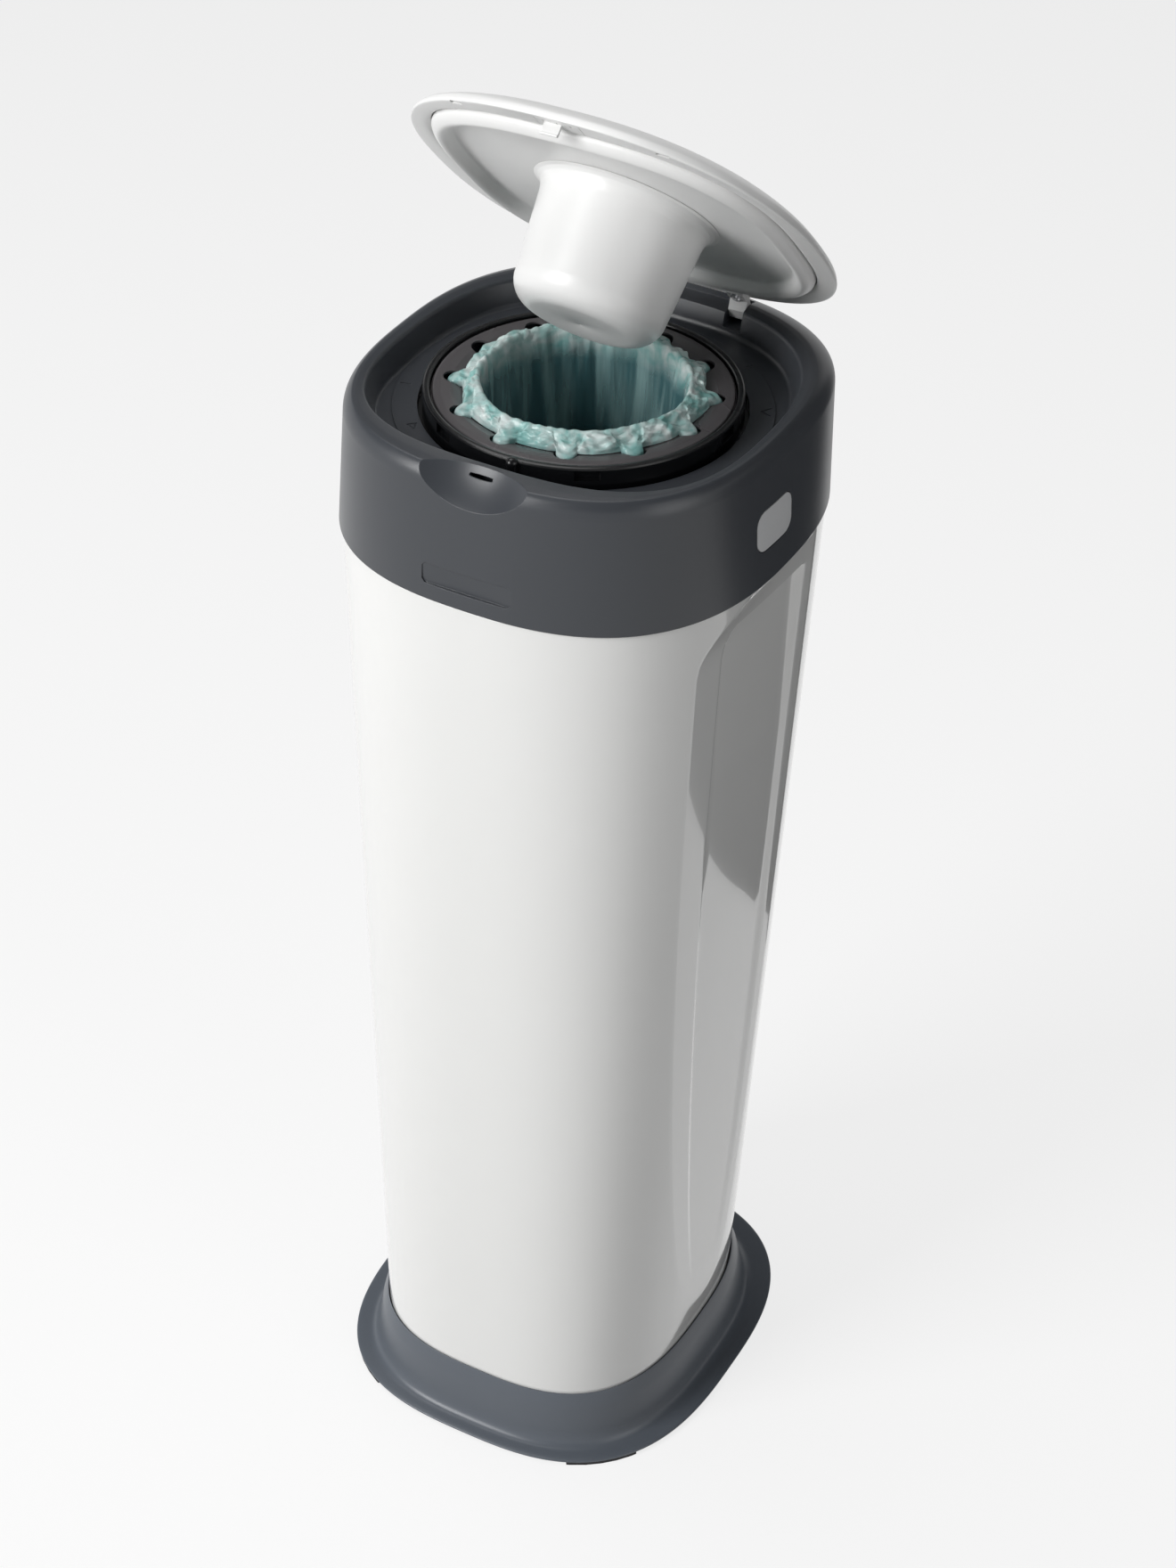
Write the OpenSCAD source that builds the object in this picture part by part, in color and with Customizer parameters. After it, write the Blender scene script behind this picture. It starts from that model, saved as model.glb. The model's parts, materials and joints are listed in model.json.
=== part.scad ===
// Nappy bin: a tall tapered tub on a flared foot. A lift-off head holds a turning
// ring with a film refill cassette, and a hinged lid whose plunger pushes a nappy
// down into the film. The lid is drawn half open, as the bin stands in use.
// Origin: on the floor, under the centre of the throat. Front of the bin: -Y.

/* [Heights] */
// Height of the foot's top edge, round the tub
foot_h = 45.3; // [38:0.1:56]
// Height of the tub from the foot's top edge to its shoulder
tub_h = 593.1; // [480:0.1:680]
// Height of the head from the tub's shoulder to the rim that the closed lid lies on
head_h = 79.9; // [74:0.1:100]

/* [Tub] */
// Width of the tub where it enters the foot
tub_w = 204; // [196:0.5:212]
// Depth of the tub where it enters the foot
tub_d = 225; // [216:0.5:232]
// Centre of the tub's lower outline, front to back
tub_y = -4; // [-8:0.5:4]
// Squareness of the tub's outline, where 2 is an ellipse
tub_sq = 2.8; // [2.4:0.05:3.2]
// Wall thickness of the tub
tub_wall = 2.4; // [1.8:0.1:3]
// Depth of the long recess in each side
panel_depth = 3; // [1:0.1:5]
// Extra depth of the hand grip inside the recess
grip_depth = 6; // [3:0.1:9]
// Height of the neck that plugs into the head
neck_h = 13.6; // [11:0.1:15]

/* [Foot] */
// How far the foot's flange stands inside the collar at each side
foot_in = 2.6; // [0:0.1:8]
// Reach of the flange past the tub at the front
flange_front = 18.75; // [16:0.25:26]
// Reach of the flange past the tub at the rear
flange_rear = 34.75; // [28:0.25:42]
// Height of the rubber pads under the flange
pad_h = 2.2; // [1.6:0.1:4]
// Length of each rubber pad along the flange
pad_len = 46; // [30:1:60]

/* [Head] */
// Space from the turning ring to the rim crease at each side
side_room = 29.5; // [27:0.1:34]
// Space from the turning ring to the ends of the rim crease, half in front and half behind
end_room = 34.5; // [32:0.1:40]
// Wall thickness of the collar
collar_wall = 2.6; // [2:0.1:3.2]
// Depth of the bowl from the rim to its floor
bowl_depth = 16.5; // [14:0.1:19]
// Radius of the ball that scoops out the finger dip at the front
scoop_r = 62; // [58:0.5:68]
// Width of each release button
button_w = 37.3; // [30:0.1:40]
// Height of each release button
button_h = 24.4; // [18:0.1:27]
// Travel of each release button
button_travel = 3.5; // [2:0.1:4]

/* [Ring and cassette] */
// Outer radius of the cassette's flange
cassette_r = 84.2; // [80:0.1:88]
// Thickness of the turning ring's grip wall
ring_wall = 4.2; // [3.6:0.1:6]
// Number of click teeth under the ring
teeth = 36; // [24:1:48]
// Radius of the throat inside the cassette's inner wall
throat_r = 58; // [56:0.1:60]
// Height of the cassette's body below its flange
cassette_h = 48.3; // [40:0.1:50]
// Number of petals on the cassette's cover
petals = 12; // [8:1:16]
// Distance by which the film's crest is folded outward past the throat
film_over = 1; // [0.6:0.1:2]

/* [Lid] */
// How much wider the lid is than the rim crease
lid_over = 0.6; // [-1:0.1:3]
// How much less deep the lid is than the rim crease
lid_short = 6; // [5:0.1:8]
// Height of the lid's crown above its edge
lid_rise = 22; // [19:0.5:30]
// Width of the band between the lid's edge and its liner
lid_band = 14; // [12.5:0.1:16]
// Angle by which the lid stands open
lid_open = 45; // [0:1:60]
// Height of the plunger cup below the lid's edge
plunger_h = 69; // [50:0.5:70]
// Space between the root of the plunger cup and the throat
plunger_gap = 10.8; // [10:0.1:16]
// Distance of the hinge pins from the rear of the rim crease
hinge_in = 2.5; // [2:0.1:3.5]
// Radius of the hinge pins
pin_r = 1.5; // [1.2:0.1:1.8]

/* [Hidden] */
$fn = 96;
seg = 64;
gap = 0.3;
pin_play = 0.03;
eps = 0.01;

// An outline is [half width, front reach, rear reach, squareness in front, at the rear, centre y]
function squircle(w, d, sq, y) = [w / 2, d / 2, d / 2, sq, sq, y];
function disc(r) = [r, r, r, 2, 2, 0];
function grow(o, g) = [o[0] + g, o[1] + g, o[2] + g, o[3], o[4], o[5]];
function mix(a, b, t) = a + (b - a) * t;
function ramp(x, a, b) = min(1, max(0, (x - a) / (b - a)));
function power(v, p) = sign(v) * pow(abs(v), p);
function spot(o, t) =
  let (s = sin(t), q = s < 0 ? o[3] : o[4], b = s < 0 ? o[1] : o[2])
  [o[0] * power(cos(t), 2 / q), o[5] + b * power(s, 2 / q)];
function outline(o, n = seg) = [for (i = [0 : n - 1]) spot(o, 360 * i / n)];
function level(z, o, n = seg) = [for (p = outline(o, n)) [p[0], p[1], z]];

// Skin through a stack of rings with equal point counts; a loop joins the last to the first
module loft(rings, loop = false) {
  n = len(rings[0]);
  m = len(rings);
  last = loop ? m - 1 : m - 2;
  sides = [
    for (j = [0 : last], i = [0 : n - 1])
      let (k = (i + 1) % n, u = ((j + 1) % m) * n)
      each [[j * n + i, u + i, u + k], [j * n + i, u + k, j * n + k]]
  ];
  low = [for (i = [0 : n - 1]) i];
  high = [for (i = [n - 1 : -1 : 0]) (m - 1) * n + i];
  polyhedron([for (r = rings) each r], loop ? sides : concat(sides, [low, high]), convexity = 10);
}

// Plate with rounded corners, thickness along X
module side_plate(w, h, r, x0, x1, y, z) {
  translate([x0, y, z]) rotate([90, 0, 90]) linear_extrude(x1 - x0) union() {
    square([w - 2 * r, h], center = true);
    square([w, h - 2 * r], center = true);
    for (i = [-1, 1], j = [-1, 1]) translate([i * (w / 2 - r), j * (h / 2 - r)]) circle(r);
  }
}

shoulder_h = foot_h + tub_h;
rim_h = shoulder_h + head_h;

ring_bore_r = cassette_r + 0.6;
ring_r = ring_bore_r + ring_wall;

// Collar outlines, from the foot of its wall up to the rim and down into the bowl
rim_w = 2 * (ring_r + side_room);
rim_d = 2 * (ring_r + end_room);
rim_y = 3;
shoulder_x = 6.1;
shoulder_y = 11.3;
shoulder_drop = 11.6;
rim_sq = 2.6;
rim_crease = squircle(rim_w, rim_d, rim_sq, rim_y);
wall_top = squircle(rim_w + 2 * shoulder_x, rim_d + 2 * shoulder_y, rim_sq, 9);
collar_foot = squircle(rim_w + 2 * shoulder_x + 7, rim_d + 2 * shoulder_y + 3, 2.55, 6.5);
collar_z = shoulder_h + gap;
wall_z = rim_h - shoulder_drop;
bowl_lip = [rim_w / 2 - 6, rim_d / 2 - 19, rim_d / 2 - 4.7, 2.9, 2.5, 0];
bowl_foot = grow(bowl_lip, -5.2);
floor_z = rim_h - bowl_depth;
function wall_at(z) = mix(collar_foot, wall_top, (z - collar_z) / (wall_z - collar_z));

// Deck and turning ring
deck_rise = 0.8;
deck_under = floor_z - 2.5;
deck_hole_r = ring_r + 2.7;
deck_ring_r = ring_r + 16.9;
flange_t = 2.6;
flange_z = deck_under - gap - flange_t;
flange_r = ring_r + 7.5;
tooth_h = 2.3;
crest_z = rim_h - 4.1;
ledge_z = floor_z + 1.2;
ledge_r = cassette_r - 4.7;
window_n = 6;

// Cassette
tray_z = ledge_z + gap;
tray_top = tray_z + 2.3;
tray_floor = tray_z - cassette_h;
tray_wall = 2;
body_r = ledge_r - 0.5;
lip_z = rim_h - 0.3;
cover_z = crest_z - 2.5;

// Housing under the deck
plate_top = flange_z - 0.2;
plate_t = 3;
housing_r = ring_r + 1;
housing_wall = 2.4;
spigot_r = ring_bore_r + 2 - 0.06;
housing_floor = tray_floor - 11.4;
screw_ring_r = ring_r + 18;
post_r = 4.2;
screw_r = 1.5;

// Lid, given as it lies closed; swing_lid() turns it to where it stands
lid_w = rim_w + lid_over;
lid_d = rim_d - lid_short;
lid_z = rim_h + 0.5;
hinge_y = rim_y + rim_d / 2 - hinge_in;
hinge_z = rim_h - 6.8;
lid_edge = squircle(lid_w, lid_d, 2.42, 0);
liner_edge = squircle(lid_w - 2 * (lid_band + gap), lid_d - 2 * (lid_band + gap + 2.9), 2.89, 0);
plunger_y = 2;
plunger_r = throat_r - plunger_gap;
plunger_play = 2.2;
arm_in = 29;
arm_out = 40;
arm_mid = (arm_in + arm_out) / 2;
pin_len = 24;
arm_play = 0.5;
knuckle_r = pin_r + 2.6;

// Buttons
button_y = -12.5;
button_drop = 45.9;
button_z = rim_h - button_drop;
button_gap = 0.6;
button_back = rim_w / 2 + shoulder_x - 6.3;
button_r = 8;
nose_z = shoulder_h + 7.4;
nose_w = 14;
spring_shut = 18.2;
spring_x1 = button_back - gap;
spring_x0 = spring_x1 - spring_shut - button_travel;
spring_r = 3.6;
spring_wire = 0.9;

module swing_lid() {
  translate([0, hinge_y, hinge_z]) rotate([-lid_open, 0, 0]) translate([0, -hinge_y, -hinge_z]) children();
}

// Foot: skirt, flange and a tray that holds the tub
tub_floor = 8;
tub_foot = squircle(tub_w, tub_d, tub_sq, tub_y);
tub_top = grow(collar_foot, -1.6);
tub_fit = 0.5;
foot_edge = squircle(
  2 * (collar_foot[0] - foot_in), tub_d + flange_front + flange_rear,
  tub_sq, tub_y + (flange_rear - flange_front) / 2
);
function tub_at(z) = mix(tub_foot, tub_top, (z - foot_h) / (shoulder_h - foot_h));
function skirt(s, z) = level(z, mix(tub_foot, foot_edge, s));
function tray(z, g) = level(z, grow(tub_at(z), g));
foot_floor_t = 2.5;
foot_wall = 2.6;
rib_ring_r = 62;
rib_len = 33;
screw_xy = 52;
foot_screw_r = 1.9;

module at_foot_screws() {
  for (x = [-1, 1], y = [-1, 1]) translate([x * screw_xy, y * screw_xy, 0]) children();
}

module foot() {
  color("#3c424b") difference() {
    union() {
      loft([
        tray(tub_floor - foot_floor_t, tub_fit),
        tray(tub_floor - foot_floor_t, tub_fit + foot_wall),
        tray(foot_h - 9, tub_fit + foot_wall),
        skirt(0.16, foot_h - 17),
        skirt(0.26, 9),
        skirt(0.40, pad_h),
        skirt(1, pad_h),
        skirt(1, pad_h + 1.6),
        skirt(0.9, pad_h + 2.1),
        skirt(0.58, pad_h + 2.7),
        skirt(0.46, pad_h + 4.2),
        skirt(0.38, pad_h + 7),
        skirt(0.32, pad_h + 12),
        skirt(0.26, foot_h - 21),
        skirt(0.19, foot_h - 10),
        skirt(0.10, foot_h - 3.2),
        skirt(0.05, foot_h - 0.4),
        tray(foot_h, tub_fit + 0.3),
        tray(foot_h - 1, tub_fit),
        tray(tub_floor, tub_fit)
      ]);
      difference() {
        cylinder(r = rib_ring_r, h = tub_floor - eps);
        translate([0, 0, -1]) cylinder(r = rib_ring_r - 3, h = tub_floor + 1 - foot_floor_t + eps);
      }
      for (a = [0 : 60 : 300]) rotate(a)
        translate([rib_ring_r - 1, -1, pad_h]) cube([rib_len, 2, tub_floor - pad_h - eps]);
    }
    at_foot_screws() translate([0, 0, -1]) cylinder(r = foot_screw_r + 0.3, h = tub_floor + 2);
  }
}

pad_turn = 33.7;
module foot_pads() {
  color("#17181b") for (sx = [-1, 1], sy = [-1, 1]) linear_extrude(pad_h) intersection() {
    difference() {
      polygon(outline(grow(foot_edge, -0.4)));
      polygon(outline(mix(tub_foot, foot_edge, 0.5)));
    }
    translate([sx * foot_edge[0] * 0.7, foot_edge[5] + sy * foot_edge[1] * 0.8])
      rotate(-sx * sy * pad_turn) square([pad_len, 60], center = true);
  }
}

module screw(r, head_r, tall, length) {
  translate([0, 0, -tall]) difference() {
    cylinder(r = head_r, h = tall);
    for (a = [0, 90]) rotate(a) translate([-head_r * 0.55, -0.4, -eps]) cube([head_r * 1.1, 0.8, tall / 2]);
  }
  translate([0, 0, -eps]) cylinder(r = r, h = length);
}

module foot_screws() {
  color("silver") at_foot_screws() translate([0, 0, tub_floor - foot_floor_t])
    screw(foot_screw_r, 3.8, 2, 10.5);
}

// Tub: one skin whose columns follow the edges of the side recess, so that they stay crisp
recess_low = foot_h + 17;
recess_top = shoulder_h - 1.6;
grip_low = foot_h + 45;
grip_top = shoulder_h - 20;
recess_y = -5;
recess_front = 96.5;
recess_rear = 52;
function bulge(u, q) = pow(1 - pow(1 - u, q), 1 / q);
function up_recess(z) = ramp(z, recess_low, recess_top - 36);
function edge_front(z) = recess_y - 4 - recess_front * bulge(up_recess(z), 1.6) + 4 * up_recess(z);
function edge_rear(z) = recess_y + 4 + recess_rear * bulge(up_recess(z), 3.2) - 4 * up_recess(z);
function panel_in(z) =
  panel_depth * min(ramp(z, recess_low - 1, recess_low + 40), 1 - ramp(z, recess_top - 3, recess_top));
function grip_in(z) =
  grip_depth * pow(ramp(z, grip_low, grip_top - 3), 0.7) * (1 - ramp(z, grip_top - 3, grip_top));
function angle_at(o, y) =
  let (v = (y - o[5]) / (y < o[5] ? o[1] : o[2]), q = y < o[5] ? o[3] : o[4])
  sign(v) * asin(min(1, pow(abs(v), q / 2)));

// Right half of a tub ring as [angle, inset] pairs, front to back
function half_ring(o, z) =
  let (
    f = edge_front(z), r = edge_rear(z), w = r - f,
    gf = f + min(39, 0.35 * w), gr = r - min(7, 0.12 * w),
    e = min(2.6, 0.05 * w), slope = min(9, 0.14 * w), p = panel_in(z), g = p + grip_in(z),
    tf = angle_at(o, f), tr = angle_at(o, r)
  )
  concat(
    [for (i = [0 : 10]) [-90 + (tf + 90) * i / 11, 0]],
    [[tf, 0], [angle_at(o, f + e), p], [angle_at(o, (f + e + gf) / 2), p], [angle_at(o, gf), p]],
    [for (i = [0 : 5]) [angle_at(o, mix(gf + min(1.6, e), gr - slope, i / 5)), g]],
    [[angle_at(o, gr), p], [angle_at(o, r - e), p], [tr, 0]],
    [for (i = [1 : 9]) [tr + (90 - tr) * i / 9, 0]]
  );

function tub_ring(z, o, zr) =
  let (h = half_ring(o, zr), n = len(h))
  concat(
    [for (i = [0 : n - 1]) let (p = spot(o, h[i][0])) [i == 0 || i == n - 1 ? 0 : p[0] - h[i][1], p[1], z]],
    [for (i = [n - 2 : -1 : 1]) let (p = spot(o, h[i][0])) [h[i][1] - p[0], p[1], z]]
  );

side_rows = [for (f = [0.15, 0.26, 0.4, 0.57, 0.73, 0.87]) mix(recess_low, grip_top, f)];
outer_rows = concat(
  [tub_floor, foot_h, recess_low - 2, recess_low + 3, recess_low + 10, recess_low + 22, recess_low + 45],
  side_rows,
  [grip_top - 12, grip_top - 3, grip_top, recess_top - 10, recess_top - 3, recess_top, shoulder_h - 0.8]
);
inner_rows = concat(
  [shoulder_h - 3, recess_top - 4, grip_top, grip_top - 3, grip_top - 30],
  [for (i = [4 : -1 : 0]) side_rows[i]],
  [recess_low + 45, recess_low + 10, tub_floor + tub_wall]
);
neck_fit = 0.7;
boss_r = 4.5;
boss_h = 10;
function neck_at(z, g) = grow(wall_at(max(z, collar_z)), -collar_wall - neck_fit - g);

module tub() {
  neck_top = shoulder_h + neck_h;
  color("#eef0f0") difference() {
    union() {
      loft(concat(
        [for (z = outer_rows) tub_ring(z, tub_at(z), z)],
        [tub_ring(shoulder_h, grow(tub_top, -0.8), shoulder_h)],
        [tub_ring(shoulder_h, neck_at(shoulder_h, 0), shoulder_h)],
        [tub_ring(neck_top, neck_at(neck_top, 0), shoulder_h)],
        [tub_ring(neck_top, neck_at(neck_top, tub_wall), shoulder_h)],
        [tub_ring(shoulder_h + 1, neck_at(shoulder_h + 1, tub_wall), shoulder_h)],
        [for (z = inner_rows) tub_ring(z, grow(tub_at(z), -tub_wall), z)]
      ));
      at_foot_screws() translate([0, 0, tub_floor + eps]) cylinder(r = boss_r, h = boss_h);
    }
    at_foot_screws() translate([0, 0, tub_floor - 1]) cylinder(r = foot_screw_r + pin_play, h = boss_h);
    for (s = [-1, 1]) translate([s * (button_back + 6), button_y, nose_z + 0.1])
      cube([20, nose_w + 5, 7], center = true);
  }
}

// Collar: one closed skin over the wall, rim and bowl and back under the deck
arc_cut = cos(70);
shoulder_arc = [
  for (a = [0 : 14 : 70]) let (c = (cos(a) - arc_cut) / (1 - arc_cut), s = sin(a) / sin(70))
    [wall_z + shoulder_drop * s, mix(rim_crease, wall_top, c)]
];
scoop_at = [0, -rim_d / 2 - 36.7, rim_h + 33.7];
hinge_block_x = arm_out + 10;
notch_x = arm_out + arm_play;
slot_w = arm_out - arm_in + 2 * arm_play;

// Solid a step inside the collar's outer surface, so that what is added stays in the skin
module collar_envelope(inset) {
  loft(concat(
    [level(collar_z + inset, grow(collar_foot, -inset))],
    [for (r = shoulder_arc) level(r[0] - inset, grow(r[1], -inset))],
    [level(rim_h - 0.7 - inset, grow(bowl_lip, 0.5 * inset))]
  ));
}

// The bowl's hollow, a step wider than its surface
module bowl_space(step) {
  loft([
    level(floor_z - step, grow(bowl_foot, step)), level(rim_h - 2.4, grow(bowl_lip, step - 1.1)),
    level(rim_h + 9, grow(bowl_lip, step))
  ]);
}

module collar_skin() {
  t = collar_wall;
  loft(concat(
    [level(collar_z, collar_foot)],
    [for (r = shoulder_arc) level(r[0], r[1])],
    [
      level(rim_h + 0.1, mix(rim_crease, bowl_lip, 0.4)), level(rim_h - 0.7, bowl_lip),
      level(rim_h - 2.4, grow(bowl_lip, -1.1)), level(floor_z + 2, grow(bowl_foot, 0.5)),
      level(floor_z, grow(bowl_foot, -0.8)),
      level(floor_z, disc(deck_hole_r - 2)), level(deck_under, disc(deck_hole_r - 2)),
      level(deck_under, grow(bowl_foot, 1.2)), level(rim_h - 4, grow(bowl_lip, 1.6)),
      level(rim_h - 3.4, mix(grow(bowl_lip, 2.2), grow(rim_crease, -0.8), 0.4)),
      level(rim_h - 3.2, grow(rim_crease, -1.4)),
      level(wall_z - 1, grow(wall_top, -t)), level(collar_z, grow(collar_foot, -t))
    ]
  ), loop = true);
}

module at_plate_screws() {
  for (a = [45 : 90 : 315]) rotate(a) translate([screw_ring_r, 0, 0]) children();
}

module collar() {
  color("#5a5e63") difference() {
    union() {
      collar_skin();
      translate([0, 0, floor_z - 1]) cylinder(r = deck_ring_r, h = deck_rise + 1);
      difference() {
        intersection() {
          collar_envelope(0.9);
          union() {
            translate(scoop_at) sphere(scoop_r + 2.4);
            translate([-hinge_block_x, hinge_y - 9.5, rim_h - 17]) cube([2 * hinge_block_x, 18, 30]);
          }
        }
        bowl_space(0.8);
      }
      at_plate_screws() translate([0, 0, plate_top]) cylinder(r = post_r, h = deck_under - plate_top + 1);
    }
    translate([0, 0, deck_under - 1]) cylinder(r = deck_hole_r, h = bowl_depth);
    translate(scoop_at) sphere(scoop_r);
    translate([-7, bowl_lip[5] - bowl_lip[1] - 8, rim_h - 7.5]) cube([14, 6, 3.4]);
    translate([-notch_x, hinge_y - 16, rim_h - 4.6]) cube([2 * notch_x, 22, 20]);
    for (s = [-1, 1]) {
      translate([s * arm_mid - slot_w / 2, hinge_y - 17, rim_h - 12.8]) cube([slot_w, 23.5, 30]);
      translate([s * arm_mid, hinge_y, hinge_z]) rotate([0, 90, 0])
        cylinder(r = pin_r + pin_play, h = pin_len + 1, center = true);
      mirror([s < 0 ? 1 : 0, 0, 0]) side_plate(
        button_w + 2 * button_gap, button_h + 2 * button_gap, button_r + button_gap,
        button_back - 4, 2 * button_back, button_y, button_z
      );
    }
    at_plate_screws() translate([0, 0, plate_top - 1]) cylinder(r = screw_r + pin_play, h = 5.6);
    name_plate();
  }
}

// Bare sunk plate on the front of the collar
module name_plate() {
  sunk = 0.7;
  bend_r = 405;
  front = mix(collar_foot, wall_top, 0.24);
  translate([0, front[5] - front[1], shoulder_h + 16.4]) difference() {
    rotate([90, 0, 0]) translate([0, 0, -6]) linear_extrude(12) union() {
      square([55, 8.5], center = true);
      square([51, 12.5], center = true);
      for (i = [-1, 1], j = [-1, 1]) translate([i * 25.5, j * 4.25]) circle(2);
    }
    translate([0, bend_r + sunk, -20]) cylinder(r = bend_r, h = 40, $fn = 360);
  }
}

// Housing: bearing plate for the ring, with a shroud round the cassette
module ring_housing() {
  z0 = plate_top - plate_t;
  r1 = housing_r + housing_wall;
  color("#2a2c30") difference() {
    union() {
      rotate_extrude() polygon([
        [spigot_r, ledge_z - 2.5], [spigot_r, plate_top], [ring_r + 12, plate_top], [ring_r + 12, z0],
        [r1, z0],
        [r1, housing_floor], [throat_r + 2, housing_floor], [throat_r + 2, housing_floor + 2.4],
        [housing_r, housing_floor + 2.4], [housing_r, z0], [spigot_r - 2, z0], [spigot_r - 2, ledge_z - 2.5]
      ]);
      for (a = [45 : 90 : 315]) rotate(a) {
        translate([screw_ring_r, 0, z0]) cylinder(r = post_r + 1.6, h = plate_t);
        translate([ring_r, -5, z0]) cube([screw_ring_r - ring_r, 10, plate_t]);
        translate([housing_r + 1, -1, z0 - 24]) cube([6, 2, 24 + eps]);
      }
      for (a = [90, 270]) rotate(a) translate([ring_r, -24, z0]) cube([housing_r * 0.24, 12, plate_t]);
      for (s = [-1, 1]) translate([s * spring_seat_mid, button_y, button_z]) rotate([0, 90, 0]) {
        cylinder(r = 5, h = spring_seat_len, center = true);
        translate([0, 0, s * (spring_seat_len / 2 + 2)]) cylinder(r = 2.2, h = 4 + eps, center = true);
      }
    }
    at_plate_screws() translate([0, 0, z0 - 1]) cylinder(r = screw_r + 0.2, h = plate_t + 2);
    at_click_screws() translate([0, 0, z0 - 1]) cylinder(r = screw_r + 0.2, h = plate_t + 2);
  }
}

spring_seat_in = housing_r + 0.8;
spring_seat_out = spring_x0 - gap;
spring_seat_len = spring_seat_out - spring_seat_in;
spring_seat_mid = (spring_seat_out + spring_seat_in) / 2;

// Click springs: leaves whose noses ride just clear of the ring's teeth
click_t = 2.2;
click_hole_x = ring_r + 16;
click_hole_y = -18;

module at_click_screws() {
  for (a = [90, 270]) rotate(a) translate([click_hole_x, click_hole_y, 0]) children();
}

module click_spring() {
  tip = flange_r + tooth_h + gap;
  translate([0, 0, plate_top]) linear_extrude(click_t) difference() {
    polygon([
      [tip, 0.4], [tip, -0.4], [tip + 2.4, -2.4], [tip + 2.6, -13], [click_hole_x - 4.2, -13.5],
      [click_hole_x - 4.2, -22.5], [click_hole_x + 4, -22.5], [click_hole_x + 4, -13], [tip + 3.8, -12.2],
      [tip + 3.6, 1.4], [tip + 2.2, 1.4]
    ]);
    translate([click_hole_x, click_hole_y]) circle(screw_r + pin_play);
  }
}

module click_springs() {
  color("#c9ccd0") for (a = [90, 270]) rotate(a) click_spring();
}

module housing_screws() {
  z0 = plate_top - plate_t;
  color("silver") {
    at_plate_screws() translate([0, 0, z0]) screw(screw_r, 3, 1.6, plate_t + 4.4);
    at_click_screws() translate([0, 0, z0]) screw(screw_r, 3, 1.6, plate_t + click_t);
  }
}

// Gripper: sprung fingers under the cassette that hold the film while the ring twists it
grip_fingers = 8;
module film_gripper() {
  top = housing_floor;
  color("#cfd3d6") {
    rotate_extrude() polygon([
      [throat_r - 2, top - 2.4], [housing_r - 18, top - 2.4], [housing_r - 18, top], [throat_r - 2, top]
    ]);
    for (i = [0 : grip_fingers - 1]) rotate(360 / grip_fingers * i - 15) rotate_extrude(angle = 30) polygon([
      [throat_r - 1, top - 2.4], [throat_r - 1, top - 0.8], [throat_r - 13.2, top - 4.4],
      [throat_r - 24, top - 11], [throat_r - 29.4, top - 20.6], [throat_r - 28, top - 21],
      [throat_r - 22, top - 12], [throat_r - 12, top - 6]
    ]);
  }
}

// Cutter under the housing: a slotted guard with a blade across the slot
cutter_x = -(housing_r - 6.5);
cutter_h = 13;
module cutter_guard() {
  color("#2f6f76") difference() {
    translate([cutter_x - 7, -11, housing_floor - cutter_h]) cube([14, 22, cutter_h]);
    translate([cutter_x - 8, -1.2, housing_floor - cutter_h - 1]) cube([16, 2.4, cutter_h - 3]);
    translate([cutter_x, 0, housing_floor - cutter_h]) rotate([0, 90, 0]) rotate(45)
      cube([6, 6, 16], center = true);
    translate([cutter_x - 0.35, -9, housing_floor - 8.05]) cube([0.7, 18, 9]);
  }
}

module cutter_blade() {
  color("#d9dde0") translate([cutter_x - 0.3, 0, housing_floor - 8]) rotate([90, 0, 90]) linear_extrude(0.6)
    polygon([[-8.9, 0.5], [8.9, 0.5], [8.9, 6], [-8.9, 6]]);
}

module hinge_pins() {
  color("silver") for (s = [-1, 1]) translate([s * arm_mid, hinge_y, hinge_z]) rotate([0, 90, 0])
    cylinder(r = pin_r, h = pin_len, center = true);
}

// Release buttons, their catch arms and coil springs
module release_button() {
  back = button_back;
  color("#c4c5c5") {
    intersection() {
      loft([level(collar_z, collar_foot), level(wall_z, wall_top)]);
      side_plate(button_w, button_h, button_r, back + 1, 2 * back, button_y, button_z);
    }
    side_plate(button_w + 6, button_h + 6, button_r, back, back + 2, button_y, button_z);
    translate([back, button_y - nose_w / 2, nose_z]) cube([2, nose_w, button_z - button_h / 2 - nose_z]);
    translate([back + 2 - eps, button_y + nose_w / 2, nose_z]) rotate([90, 0, 0]) linear_extrude(nose_w)
      polygon([[0, 0], [0.9, 2.8], [0.9, 3.4], [0, 3.4]]);
    translate([back - 4, button_y, button_z]) rotate([0, 90, 0]) cylinder(r = 2.2, h = 4 + eps);
  }
}

module release_button_right() { release_button(); }
module release_button_left() { mirror([1, 0, 0]) release_button(); }

// Coil spring along X: one unbroken tube, closed turns at both ends
coil_turns = 7;
coil_rings = 8;
coil_sides = 6;
function coil_pitch(u) = u - sin(360 * u) * 0.09;
module coil_spring() {
  n = coil_turns * coil_rings;
  span = spring_x1 - spring_x0 - spring_wire;
  rings = [
    for (i = [0 : n])
      let (a = 360 * i / coil_rings, x = spring_x0 + spring_wire / 2 + span * coil_pitch(i / n))
      [for (k = [0 : coil_sides - 1]) let (b = 360 * k / coil_sides, r = spring_r + spring_wire / 2 * cos(b))
        [x + spring_wire / 2 * sin(b), button_y + r * cos(a), button_z + r * sin(a)]]
  ];
  color("silver") loft(rings);
}

module button_spring_right() { coil_spring(); }
module button_spring_left() { mirror([1, 0, 0]) coil_spring(); }

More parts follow.
